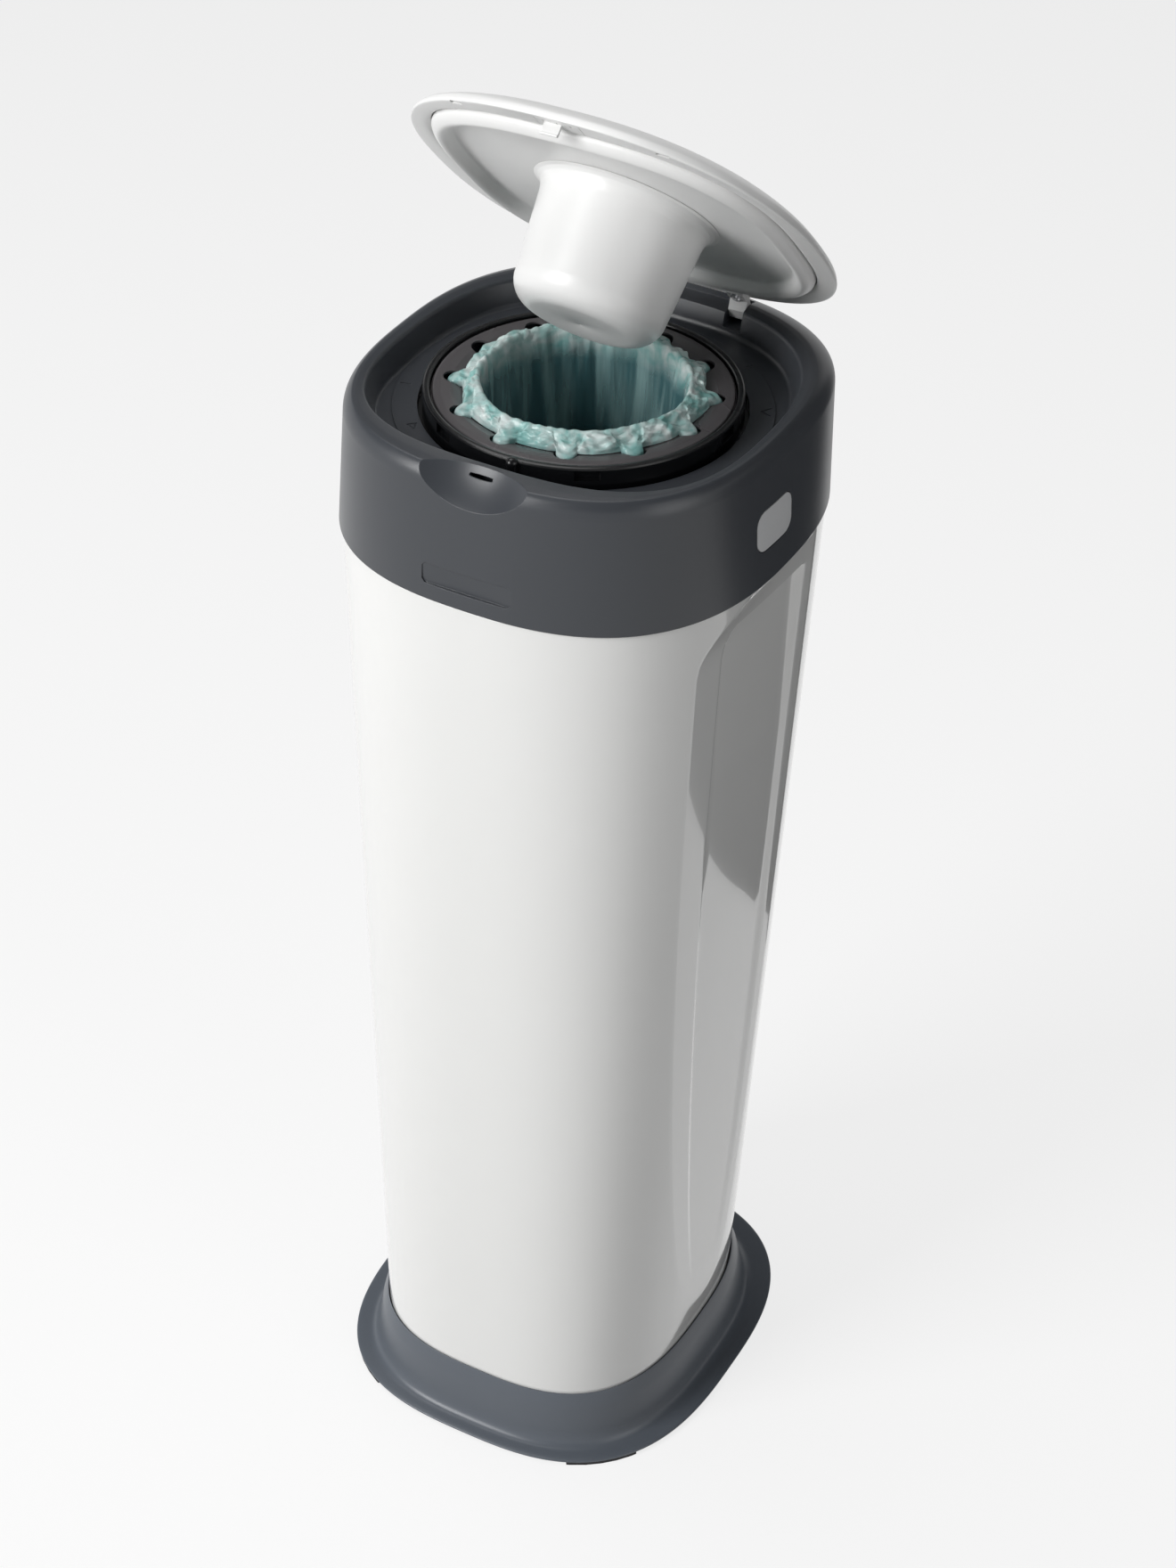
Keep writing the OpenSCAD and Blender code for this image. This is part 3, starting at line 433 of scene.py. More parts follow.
under = tube(ring_foot_r, ring_foot_r - 3, 0, tub_floor - 1)
boolean(foot_shell, under, "UNION")
for turn in range(0, 360, 60):
    rib = block((ring_foot_r - 1, -1, pad_h), (ring_foot_r + 32, 1, tub_floor - 1))
    rib.data.transform(Matrix.Rotation(math.radians(turn), 4, "Z"))
    boolean(foot_shell, rib, "UNION")
dress(foot_shell, foot_grey, "tub_unit", "foot", "foot")

# %% [markdown]
# The tub is one tall white moulding. Each side is flattened, as if a plane had been cut across its
# curve, so the flat has a crisp outline that is pointed at the bottom and square at the top. A hand
# grip is stepped into that flat. A displacement would blur those edges, so the columns of the mesh
# follow them instead: every row has the same columns, and they move with the edge of the flat.

# %% Shape of the side recess
recess_low = foot_h + 17
recess_top = shoulder_h - 1.6
grip_low = foot_h + 45
grip_top = shoulder_h - 20
flattened = 0.82
grip_depth = 2.2
lip_depth = 2.4


def bulge(u, q):
    return (1 - (1 - u) ** q) ** (1 / q)


def recess_edges(z):
    u = ramp(z, recess_low, recess_top - 36)
    corner = 32 * ramp(z, recess_top - 37, recess_top - 3) ** 2
    return -4 - 68 * bulge(u, 2.3) + corner, -1 + 52 * bulge(u, 3.2) - 4 * u


def recess_depths(z):
    """How far the side is flattened, and how deep the hand grip is stepped into it."""
    flat = flattened * (1 - ramp(z, recess_top - 3, recess_top))
    step = grip_depth * ramp(z, grip_low, grip_top - 120) ** 0.7
    step += lip_depth * ramp(z, grip_top - 110, grip_top - 4)
    return flat, step * (1 - ramp(z, grip_top - 3, grip_top))


def turn_at(outline, y):
    v = (y - outline[5]) / (outline[1] if y < outline[5] else outline[2])
    square = outline[3] if y < outline[5] else outline[4]
    return math.copysign(math.asin(min(1, abs(v) ** (square / 2))), v)


def soft_step(t):
    return t * t * (3 - 2 * t)


# %% Rows of the tub
def spread(low, high, count):
    return [mix(low, high, i / count) for i in range(count)]


def half_row(outline, z):
    """(angle, depth) pairs of the right half, from the front to the rear."""
    front, rear = recess_edges(z)
    wide = rear - front
    grip_front, grip_rear = front + 0.2 * wide, rear - min(7, 0.12 * wide)
    slope, chamfer = min(9, 0.14 * wide), min(4.2, 0.06 * wide)
    flat, step = recess_depths(z)
    low_x, high_x = (spots(outline, np.array([turn_at(outline, y)]))[0][0] for y in (front, rear))

    def place(y, sunk):
        turn = turn_at(outline, y)
        chord = mix(low_x, high_x, (y - front) / wide)
        return turn, flat * (spots(outline, np.array([turn]))[0][0] - chord) + sunk

    row = [(a, 0) for a in spread(-math.pi / 2, turn_at(outline, front), 40)]
    stretches = [
        (front, grip_front, 0, 0, 14), (grip_front, grip_front + chamfer, 0, step, 8),
        (grip_front + chamfer, grip_rear - slope, step, step, 16),
        (grip_rear - slope, grip_rear, step, 0, 10), (grip_rear, rear, 0, 0, 8),
    ]
    for y0, y1, d0, d1, count in stretches:
        row += [place(mix(y0, y1, i / count), mix(d0, d1, soft_step(i / count))) for i in range(count)]
    return row + [(a, 0) for a in spread(turn_at(outline, rear), math.pi / 2, 34)] + [(math.pi / 2, 0)]


def tub_row(outline, z, height=None):
    row = half_row(outline, z)
    sunk = np.column_stack([[depth for _, depth in row], np.zeros(len(row))])
    right = spots(outline, np.array([turn for turn, _ in row])) - sunk
    right[[0, -1], 0] = 0
    left = right[-2:0:-1] * [-1, 1]
    flat = np.vstack([right, left])
    return np.column_stack([flat, np.full(len(flat), z if height is None else height)])


# %% Tub
neck_top = shoulder_h + 13.6
tub_wall = 2.4


def neck_at(z, inward):
    return grow(wall_at(max(z, collar_z)), -3.3 - inward)


low_rows = [*np.linspace(foot_h - 6, recess_low - 3, 4), *np.linspace(recess_low - 1, recess_low + 45, 32)]
mid_rows = list(np.linspace(recess_low + 52, grip_top - 12, 70))
high_rows = [*np.linspace(grip_top - 8, grip_top + 2, 18), *np.linspace(grip_top + 5, recess_top - 5, 5)]
top_rows = list(np.linspace(recess_top - 4, recess_top + 0.2, 10))
rows = [tub_row(tub_at(z), z) for z in [tub_floor, *low_rows, *mid_rows, *high_rows, *top_rows]]
for drop, inset in ((0.9, 0), (0.45, 0.15), (0.12, 0.5), (0, 1.0)):
    rows.append(tub_row(grow(tub_top, -inset), shoulder_h, shoulder_h - drop))
rows.append(tub_row(neck_at(shoulder_h, 0), shoulder_h))
neck_edge = [(neck_top - 0.5, 0), (neck_top, 0.5), (neck_top, tub_wall - 0.5), (neck_top - 0.5, tub_wall)]
for height, inward in neck_edge:
    rows.append(tub_row(neck_at(height, inward), shoulder_h, height))
rows.append(tub_row(neck_at(shoulder_h + 1, tub_wall), shoulder_h, shoulder_h + 1))
inner_rows = [*high_rows[::-3], *mid_rows[::-4], *low_rows[::-6]]
for z in [shoulder_h - 3, recess_top - 4, *inner_rows, tub_floor + tub_wall]:
    rows.append(tub_row(grow(tub_at(z), -tub_wall), z))
tub_shell = skin("tub_shell", rows, smooth=7)
neck_side_x = 124.3
for x in (-neck_side_x, neck_side_x):
    catch_window = block((x - 10, -22, shoulder_h + 4), (x + 10, -3, shoulder_h + 11))
    boolean(tub_shell, catch_window, "DIFFERENCE")
dress(tub_shell, white_gloss, "tub_unit", "tub", "tub")

# %% [markdown]
# The collar is the head's outer moulding: a leaning wall, a rolled shoulder, a rim with a crease, and
# a bowl that goes down to the deck round the turning ring. One closed path gives the whole section.
# The finger dip in front is a ball cut. The hinge notch, pin slots and button windows are box cuts.

# %% Collar section
arc = []
for a in np.radians(np.arange(0, 71, 7)):
    share = (math.cos(a) - math.cos(math.radians(70))) / (1 - math.cos(math.radians(70)))
    arc.append((mix(rim_crease, wall_top, share), wall_z + 11.6 * math.sin(a) / math.sin(math.radians(70))))
deck_hole_r = 91.7
outer_part = [(collar_foot, collar_z), *arc, (mix(rim_crease, bowl_lip, 0.4), rim_h + 0.1)]
bowl_part = [
    (bowl_lip, rim_h - 0.7), (grow(bowl_lip, -1.1), rim_h - 2.4), (grow(bowl_foot, 0.5), floor_z + 2),
    (grow(bowl_foot, -0.8), floor_z), (disc(deck_hole_r - 2), floor_z),
]
under_part = [
    (disc(deck_hole_r - 2), deck_under), (grow(bowl_foot, 1.2), deck_under), (grow(bowl_lip, 1.6), rim_h - 4),
    (mix(grow(bowl_lip, 2.2), grow(rim_crease, -0.8), 0.4), rim_h - 3.4),
    (grow(rim_crease, -1.4), rim_h - 3.2),
    (grow(wall_top, -2.6), wall_z - 1), (grow(collar_foot, -2.6), collar_z),
]
collar_shell = shell("collar_shell", outer_part + bowl_part + under_part, 0.9, loop=True)

# %% Deck ring, finger dip and hinge boss
scoop_at = (0, -160.2, 752.0)
hinge_y, hinge_z = 124.0, rim_h - 6.8
arm_x = 34.5
inset = 0.9
envelope_path = [(collar_foot, collar_z), *arc, (bowl_lip, rim_h - 0.7)]
inner_path = [(grow(o, -inset), z - inset) for o, z in arc]
inner_path = [(grow(collar_foot, -inset), collar_z + inset), *inner_path, (grow(bowl_lip, 0.4), rim_h - 1.6)]
bowl_space = [
    (grow(bowl_foot, 0.8), floor_z - 0.8), (grow(bowl_lip, -0.3), rim_h - 2.4),
    (grow(bowl_lip, 0.8), rim_h + 9),
]


def inside_envelope(obj):
    """Keep what lies a step inside the collar's skin, so that no two faces coincide."""
    boolean(obj, shell("envelope", inner_path, 0.9), "INTERSECT")
    return boolean(obj, shell("bowl", bowl_space, 0.5), "DIFFERENCE")


def cylinder(radius, low, high, around=240):
    t = np.arange(around) / around * 2 * math.pi
    return skin("cylinder", [np.column_stack([radius * np.cos(t), radius * np.sin(t), np.full(around, z)])
                             for z in (low, high)])


boolean(collar_shell, cylinder(105.9, floor_z - 1, floor_z + 0.8), "UNION")
boolean(collar_shell, inside_envelope(ball(scoop_at, 64.4)), "UNION")
boolean(collar_shell, inside_envelope(block((-50, 114.5, rim_h - 17), (50, 132.5, rim_h + 13))), "UNION")
boolean(collar_shell, cylinder(deck_hole_r, deck_under - 1, rim_h), "DIFFERENCE")
boolean(collar_shell, ball(scoop_at, 62.0), "DIFFERENCE")
boolean(collar_shell, block((-7, -112.5, rim_h - 7.5), (7, -106.5, rim_h - 4.1)), "DIFFERENCE")
boolean(collar_shell, block((-40.5, 108, rim_h - 4.6), (40.5, 130, rim_h + 15)), "DIFFERENCE")
for side in (-arm_x, arm_x):
    boolean(collar_shell, block((side - 6, 107, rim_h - 12.8), (side + 6, 130.5, rim_h + 17)), "DIFFERENCE")

# %% Marks on the deck
def groove(points, width=1.1):
    """Cut shallow grooves along straight strokes given by radius and angle on the deck."""
    spots_xy = [Vector((r * math.cos(math.radians(a)), r * math.sin(math.radians(a)), 0)) for r, a in points]
    for start, end in zip(spots_xy, spots_xy[1:]):
        way = end - start
        stroke = block((-0.4, -width / 2, floor_z + 0.35), (way.length + 0.4, width / 2, floor_z + 2))
        turn = Matrix.Rotation(math.atan2(way.y, way.x), 4, "Z")
        stroke.data.transform(Matrix.Translation(start * MM) @ turn)
        boolean(collar_shell, stroke, "DIFFERENCE")


DECK_MARKS = (
    [(99.5, 166), (96.5, 168.5), (99.5, 171)],
    [(98, -162), (103.5, -162)],
    [(101.5, 54.5), (104.8, 54.5)],
    [(103, 23), (98, 25.5), (103.5, 27.5)],
    [(94.5, -136), (99.5, -136), (97, -132.5), (94.5, -136)],
)
for marks in DECK_MARKS:
    groove(marks)

# %% Button windows and the bare plate
button_y, button_z = -12.5, rim_h - 45.9
for side in (-1, 1):
    window = rounded_plate(38.5, 25.6, 8.6, side * 114, side * 140, button_y, button_z)
    boolean(collar_shell, window, "DIFFERENCE")


def bare_plate():
    """A shallow sunk panel, left blank. Its floor follows the bend of the wall."""
    bend, sunk, half = 405.0, 0.7, 27.5
    front = mix(collar_foot, wall_top, 0.24)
    face_y = front[5] - front[1]
    low, high = shoulder_h + 16.4 - 6.25, shoulder_h + 16.4 + 6.25
    flat = [(half - 2, low), (half, low + 2), (half, high - 2), (half - 2, high)]
    flat = [(-x, z) for x, z in flat[::-1]] + flat
    back = []
    for x, z in flat:
        back.append((x, face_y + sunk + bend - math.sqrt(bend ** 2 - x * x), z))
    return skin("plate", [np.array([(x, face_y - 6, z) for x, z in flat]), np.array(back)])


boolean(collar_shell, bare_plate(), "DIFFERENCE")
for turn in range(45, 360, 90):
    post = tube(4.2, 1.53, deck_under - 3.1, deck_under + 0.5, 32)
    post.data.transform(Matrix.Rotation(math.radians(turn), 4, "Z") @ Matrix.Translation((107 * MM, 0, 0)))
    boolean(collar_shell, post, "UNION")
dress(collar_shell, collar_grey, "head", "collar", "collar")

# %% [markdown]
# Each release button is a light grey cushion that fills its window almost flush with the wall.
# It is cut from the collar's own envelope, so its face has the wall's curve.

# %% Release buttons
def button(side):
    pad = rounded_plate(37.3, 24.4, 8, 119.3, 140, button_y, button_z, 16)
    boolean(pad, shell("envelope", envelope_path, 0.9), "INTERSECT")
    soften = pad.modifiers.new("soften", "BEVEL")
    soften.width = 0.7 * MM
    soften.segments = 4
    soften.limit_method = "ANGLE"
    soften.angle_limit = math.radians(50)
    graph = bpy.context.evaluated_depsgraph_get()
    pad.data = bpy.data.meshes.new_from_object(pad.evaluated_get(graph))
    pad.modifiers.clear()
    boolean(pad, rounded_plate(43.3, 30.4, 8, 118.3, 120.3, button_y, button_z), "UNION")
    boolean(pad, block((118.3, -19.5, 645.8), (120.3, -5.5, 660.5)), "UNION")
    pad.name = "button_pad_right" if side > 0 else "button_pad_left"
    if side < 0:
        pad.data.transform(Matrix.Scale(-1, 4, (1, 0, 0)))
        pad.data.flip_normals()
    smooth_by_angle(pad, 40)
    return pad


dress(button(1), button_grey, "button_right", "button", "release_button_right")
dress(button(-1), button_grey, "button_left", "button", "release_button_left")

# %% [markdown]
# A coil spring behind each button pushes it out again. The coil is one helix with closed turns at both
# ends.

# %% Button springs
SPRING_WIRE, SPRING_R, SPRING_TURNS = 0.9, 3.6, 7
SPRING_IN, SPRING_OUT = 96.3, 118.0
STEPS_PER_TURN, WIRE_SIDES = 24, 10


def coil(side):
    steps, span = SPRING_TURNS * STEPS_PER_TURN, SPRING_OUT - SPRING_IN - SPRING_WIRE
    b = np.arange(WIRE_SIDES) / WIRE_SIDES * 2 * math.pi
    rings = []
    for i in range(steps + 1):
        u, a = i / steps, 2 * math.pi * i / STEPS_PER_TURN
        x = SPRING_IN + SPRING_WIRE / 2 + span * (u - math.sin(2 * math.pi * u) * 0.09)
        r = SPRING_R + SPRING_WIRE / 2 * np.cos(b)
        out = side * (x + SPRING_WIRE / 2 * np.sin(b))
        rings.append(np.column_stack([out, button_y + r * math.cos(a), button_z + r * math.sin(a)]))
    return skin("button_coil_right" if side > 0 else "button_coil_left", rings, smooth=60)


for side, name in ((1, "right"), (-1, "left")):
    spring = coil(side)
    dress(spring, zinc_steel, "head", "steel", "button_spring_" + name)
    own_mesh(spring)

# %% [markdown]
# The lid is modelled lying closed, then swung up about its hinge pins to where it stands.
# Its shell is a low dome with a flat band round the edge. The liner inside carries a soft-looking
# bead that seals against the bowl, and a flat panel with the plunger cup in the middle.

# %% Lid
LID_OPEN = math.radians(45)
lid_z = rim_h + 0.5
lid_rise = 22.0
lid_edge = squircle(237.6, 241, 2.42, 0)
liner_edge = np.array([104.5, 103.3, 103.3, 2.89, 2.89, 0])
hinge_point = Vector((0, hinge_y * MM, hinge_z * MM))


def swing(obj):
    turn = Matrix.Rotation(-LID_OPEN, 4, "X")
    obj.data.transform(Matrix.Translation(hinge_point) @ turn @ Matrix.Translation(-hinge_point))
    return obj


def crown(share, height):
    return mix(disc(1), lid_edge, share), lid_z + 2 + (lid_rise - 2) * height


band_edge = grow(liner_edge, 0.3)
lid_path = [
    crown(0.1, 0.875), crown(0.2, 0.87), crown(0.45, 0.815), crown(0.66, 0.68), crown(0.8, 0.51),
    (band_edge, lid_z + 8), (band_edge, lid_z), (grow(lid_edge, -0.9), lid_z), (lid_edge, lid_z + 0.6),
    crown(1, 0), crown(0.985, 0.175), crown(0.94, 0.35), crown(0.85, 0.565), crown(0.7, 0.775),
    crown(0.5, 0.925), crown(0.25, 0.99), crown(0.08, 1),
]
lid_dome = shell("lid_dome", lid_path, 12, steps=6)
boolean(lid_dome, block((-10.3, -118.3, lid_z - 1), (16.3, -108, lid_z + 2.3)), "DIFFERENCE")
for x in (-65, -35, 35, 65):
    pocket = block((-3.5, -113 + x * x / 1250, lid_z - 1), (3.5, -110.4 + x * x / 1250, lid_z + 2))
    lean = Matrix.Rotation(math.radians(x * 0.38), 4, "Z")
    pocket.data.transform(Matrix.Translation((x * MM, 0, 0)) @ lean)
    boolean(lid_dome, pocket, "DIFFERENCE")
for x in (-arm_x, arm_x):
    for back_off in (17.3, 12.2):
        hole = cylinder(1.5, lid_z - 1, lid_z + 5, 24)
        hole.data.transform(Matrix.Translation((x * MM, (hinge_y - back_off) * MM, 0)))
        boolean(lid_dome, hole, "DIFFERENCE")
swing(lid_dome)
dress(lid_dome, lid_white, "lid", "lid", "lid_shell")

# %% Liner
hub, hole = disc(62, 2), disc(49.2, 2)
liner_path = [
    (liner_edge, lid_z + 0.3), (liner_edge, lid_z + 4), (grow(liner_edge, -2), lid_z + 4),
    (grow(liner_edge, -3.2), lid_z - 0.5), (grow(liner_edge, -5.6), lid_z - 3),
    (grow(liner_edge, -7.6), lid_z - 1.8), (grow(liner_edge, -10.4), lid_z + 4.5),
    (hub, lid_z + 4.2), (hole, lid_z + 4), (hole, lid_z + 2),
    (hub, lid_z + 2.2), (grow(liner_edge, -12), lid_z + 2.5), (grow(liner_edge, -9), lid_z - 3.5),
    (grow(liner_edge, -5.5), lid_z - 5), (grow(liner_edge, -2), lid_z - 2.5),
]
liner_panel = swing(shell("liner_panel", liner_path, 1.6, loop=True))
dress(liner_panel, liner_white, "lid", "liner", "lid_liner")

# %% Plunger
seat_z, cup_low, cup_round, cup_wall = lid_z + 1.9, lid_z - 69, 16, 2.2
cup_r = 47.2 - 0.067 * (69 - cup_round)
quarter = np.radians(np.arange(0, 85, 6))


def cup_corner(bend, turns):
    """The round corner at the foot of the cup, as radius and height."""
    return [(cup_r - cup_round + bend * math.cos(a), cup_low + cup_round - bend * math.sin(a)) for a in turns]


cup_path = [
    (53.8, seat_z), (53.8, seat_z - 0.3), (51.6, seat_z - 0.9), (49.5, seat_z - 2.6),
    (48.1, seat_z - 5.2), (47.2, seat_z - 9), *cup_corner(cup_round, quarter),
    (cup_r - cup_round, cup_low), (cup_r - cup_round - 1.5, cup_low),
    (0.5, cup_low), (0.5, cup_low + cup_wall),
]
cup_path += cup_corner(cup_round - cup_wall, quarter[::-1])
cup_path += [(44.9, seat_z - 9), (45.4, seat_z - 6), (45.6, seat_z)]
cup = shell("plunger", [(disc(r, 2), z) for r, z in cup_path], 0.25, loop=True, steps=2)
dress(swing(cup), lid_white, "lid", "plunger", "plunger_cup")

# %% [markdown]
# The cassette's cover is a ring of twelve dark petals. Each is wide at its root, narrow at its rounded
# tip, and bends down towards the throat. The film comes up through the gaps. Cutting twelve gaps out of
# a dome would take twelve booleans. It is quicker to lay out one petal as a grid, to let the sides of
# the grid follow the gap, and to place it twelve times.

# %% Petals of the cassette
cover_z = rim_h - 6.6
tray_top = floor_z + 3.8
PETALS, PETAL_TURN = 12, 21.0
petal_top = np.array([
    (84.0, -1.2), (83.7, 0.6), (82.6, 1.35), (79.2, 1.5),
    (73.8, 0.9), (68.2, -1.1), (64.4, -3.7), (62.7, -6.8),
])


def petal_height(r):
    return np.interp(-r, -petal_top[:, 0], petal_top[:, 1]) + cover_z


def gap_half(r):
    """Half of the gap between two petals, in millimetres, at a distance from the axis."""
    root, wide = 78.4, 6.6
    if r >= root:
        return 0.0
    round_end = wide * math.sqrt(max(0.0, 1 - max(0.0, (r - (root - wide)) / wide) ** 2))
    return round_end + 1.4 * ramp(r, 72, 63) ** 1.5 + 1.4 * ramp(r, 65, 62.7) ** 3


def petal_ring():
    root, gap, tip = np.linspace(84.0, 78.9, 9), np.linspace(78.4, 71.8, 22), np.linspace(71.2, 62.8, 20)
    radii = np.concatenate([root, gap, tip])
    across, points, faces = 24, [], []
    for p in range(PETALS):
        middle = math.radians(PETAL_TURN + 15 + p * 360 / PETALS)
        for thick in (0.0, -1.3):
            for r in radii:
                half = math.radians(15) - gap_half(r) / r
                for t in np.linspace(-1, 1, across + 1):
                    a = middle + t * half
                    droop = 0.5 * ramp(r, 72, 63) * t * t
                    points.append((r * math.cos(a), r * math.sin(a), petal_height(r) + thick - droop))
        n, m = across + 1, len(radii)
        top, low = p * 2 * n * m, p * 2 * n * m + n * m
        for j in range(m - 1):
            for i in range(across):
                k = j * n + i
                faces.append((top + k, top + k + 1, top + k + n + 1, top + k + n))
                faces.append((low + k + n, low + k + n + 1, low + k + 1, low + k))
            for i in (0, across):
                k = j * n + i
                if gap_half(radii[j + 1]) > 0:
                    faces.append((top + k, top + k + n, low + k + n, low + k))
        for i in range(across):
            for j in (0, m - 1):
                k = j * n + i
                faces.append((top + k, top + k + 1, low + k + 1, low + k))
    ring_mesh = add_mesh("petal_ring", points, faces, 40)
    weld = bmesh.new()
    weld.from_mesh(ring_mesh.data)
    bmesh.ops.remove_doubles(weld, verts=weld.verts, dist=0.00002)
    bmesh.ops.recalc_face_normals(weld, faces=weld.faces)
    weld.to_mesh(ring_mesh.data)
    weld.free()
    return ring_mesh


petals = petal_ring()
skirt_wall = tube(84.2, 82.4, tray_top, cover_z - 0.6, 180)
boolean(petals, skirt_wall, "UNION")
smooth_by_angle(petals, 40)
dress(petals, petal_grey, "spinner", "petals", "cassette_cover")

# %% [markdown]
# The film is a thin tube of pale blue-green plastic. It comes up through the gaps between the petals,
# gathers into a crumpled collar, folds over the cassette's lip, hangs down the throat in long creases
# and is tied in a knot below the gripper. It is one continuous sheet, so it is built as a grid: along
# its length, and round it. Sharp creases come from folded waves, which are lines with kinks instead of
# smooth hills. A cloth simulation was an option, but it would have lost the even lip and the knot.

# %% Film profile
housing_floor = 643.6
crest_r = 59.5
film_line = [
    (crest_r + 0.9, rim_h + 0.9), (crest_r + 0.3, rim_h + 1.5), (crest_r - 0.7, rim_h + 1.4),
    (57.8, rim_h + 0.4), (57.3, rim_h - 3), (56.6, rim_h - 21), (54.6, housing_floor + 24),
    (52.2, housing_floor + 6), (47.4, housing_floor - 1.2), (42.6, housing_floor - 4),
    (32.8, housing_floor - 10.6), (27.2, housing_floor - 21), (24.0, housing_floor - 50),
    (22.0, housing_floor - 72), (12.0, housing_floor - 88), (5.0, housing_floor - 92),
    (3.2, housing_floor - 96), (5.6, housing_floor - 99), (5.6, housing_floor - 104),
    (3.2, housing_floor - 107), (7.2, housing_floor - 121),
]


def curve_through(points, count):
    """A smooth line through points, in even steps."""
    p = np.array(points, float)
    padded_line = np.vstack([2 * p[0] - p[1], p, 2 * p[-1] - p[-2]])
    fine = []
    for a, b, c, d in zip(padded_line, padded_line[1:], padded_line[2:], padded_line[3:]):
        for t in np.linspace(0, 1, 24, endpoint=False):
            bend, twist = 2 * a - 5 * b + 4 * c - d, 3 * b - a - 3 * c + d
            fine.append(0.5 * (2 * b + (c - a) * t + bend * t * t + twist * t ** 3))
    fine = np.array(fine + [p[-1]])
    walked = np.concatenate([[0], np.cumsum(np.hypot(*np.diff(fine, axis=0).T))])
    even = np.linspace(0, walked[-1], count)
    placed = [np.interp(even, walked, fine[:, 0]), np.interp(even, walked, fine[:, 1])]
    return np.column_stack(placed), walked[-1]


# %% Creases
FILM_AROUND, FILM_ALONG = 900, 180
chance = np.random.default_rng(11)
theta = np.arange(FILM_AROUND) / FILM_AROUND * 2 * math.pi


def creases(count, sharp=1.0):
    """Uneven folds round the axis, from 0 to 1. Their spacing wanders, and each fold has its own depth."""
    wander = 0
    for k in range(1, 6):
        wander = wander + chance.uniform(0.2, 0.6) / k * np.sin(k * theta + chance.uniform(0, 6.28))
    phase, depth = chance.uniform(0, 6.28), chance.uniform(0.35, 1.0, count)
    return lambda shift: fold_height(theta + 1.2 * wander / count + shift, count, phase, depth, sharp)


def fold_height(turn, count, phase, depth, sharp):
    place = (turn * count / (2 * math.pi) + phase) % count
    nth = np.floor(place).astype(int) % count
    t = place - np.floor(place)
    return depth[nth] * (1 - np.abs(2 * t - 1)) ** sharp


long_folds, side_folds, fine_folds = creases(15, 1.5), creases(26, 1.2), creases(57, 1.0)

# %% Film outside the lip
def kink(value):
    """A folded wave: straight slopes and sharp edges, between 0 and 1."""
    return np.abs((value % 1.0) * 2 - 1)


def crumple(u, count, slant, seed):
    """Small facets that change across the sheet and along it."""
    wave = np.random.default_rng(seed)
    total = 0
    for k in range(4):
        n = round(count * wave.uniform(0.7, 1.5))
        bend = 0.35 * np.sin(wave.integers(2, 9) * theta + wave.uniform(0, 6.28))
        lean = slant * wave.uniform(-1, 1) * u
        total = total + kink(n * theta / (2 * math.pi) + bend + lean + wave.uniform(0, 1))
    return total / 4


SKIRT_ROWS = 50
FILLED = (1, 0.9, 1, 0.85, 0.3, 0.5, 0.95, 0.9, 1, 1, 0.85, 0.95)
turn_in_gap = (np.degrees(theta) - PETAL_TURN + 15) % 30 - 15
gap_number = (np.floor((np.degrees(theta) - PETAL_TURN + 15) / 30) % 12).astype(int)
aside = 74 * np.radians(turn_in_gap)
filled = np.array(FILLED)[gap_number]
tongue = 71.2 + 6.1 * filled * np.sqrt(np.clip(1 - (aside / 5.8) ** 2, 0, 1)) - 2.5 * (1 - filled)
over_petal = 66.0 + 5.6 * creases(10, 0.7)(0.1)
sway = 0.8 * np.sin(3 * theta + 1) + 0.5 * np.sin(7 * theta + 2)
TONGUE_U = (0, 0.3, 0.82, 0.93, 1)
TONGUE_Z = (rim_h + 0.6, cover_z + 4.4, cover_z + 1.6, cover_z + 0.2, cover_z - 3.2)
film_rows = []
for k in range(SKIRT_ROWS):
    u = 1 - k / SKIRT_ROWS
    tent = soft_step(np.clip((6.6 + 5.5 * (1 - u) - np.abs(aside)) / 1.8, 0, 1))
    broad = crumple(u, 12, 2.2, 5) - 0.5
    sharp = crumple(u, 30, 3.0, 9) - 0.5
    outward = mix(math.sin(u * math.pi / 2), u ** 1.1, tent)
    r = mix(crest_r + 1.2 + sway, mix(over_petal, tongue, tent), outward)
    z_rest = mix(petal_height(66.0) + 1.0, rim_h + 0.6, math.cos(u * math.pi / 2) ** 0.9)
    z_tongue = np.interp(u, TONGUE_U, TONGUE_Z)
    z = mix(z_rest, z_tongue, tent)
    loose = math.sin(math.pi * min(1, u * 1.1 + 0.05)) ** 0.6
    r = np.maximum(r + (4.6 * broad + 1.5 * sharp) * loose, 60.9)
    z = z + (3.4 * broad + 1.9 * sharp) * loose
    inside_gap = np.abs(turn_in_gap) < np.degrees((gap_half(70) - 0.7) / r)
    lowest = np.where(inside_gap, cover_z - 3.4, petal_height(r) + 0.5)
    farthest = np.where(inside_gap, 71.4 + np.sqrt(np.clip(36 - aside ** 2, 0, 36)), 74)
    film_rows.append((np.minimum(r, farthest), np.clip(z, lowest, rim_h + 1.6)))

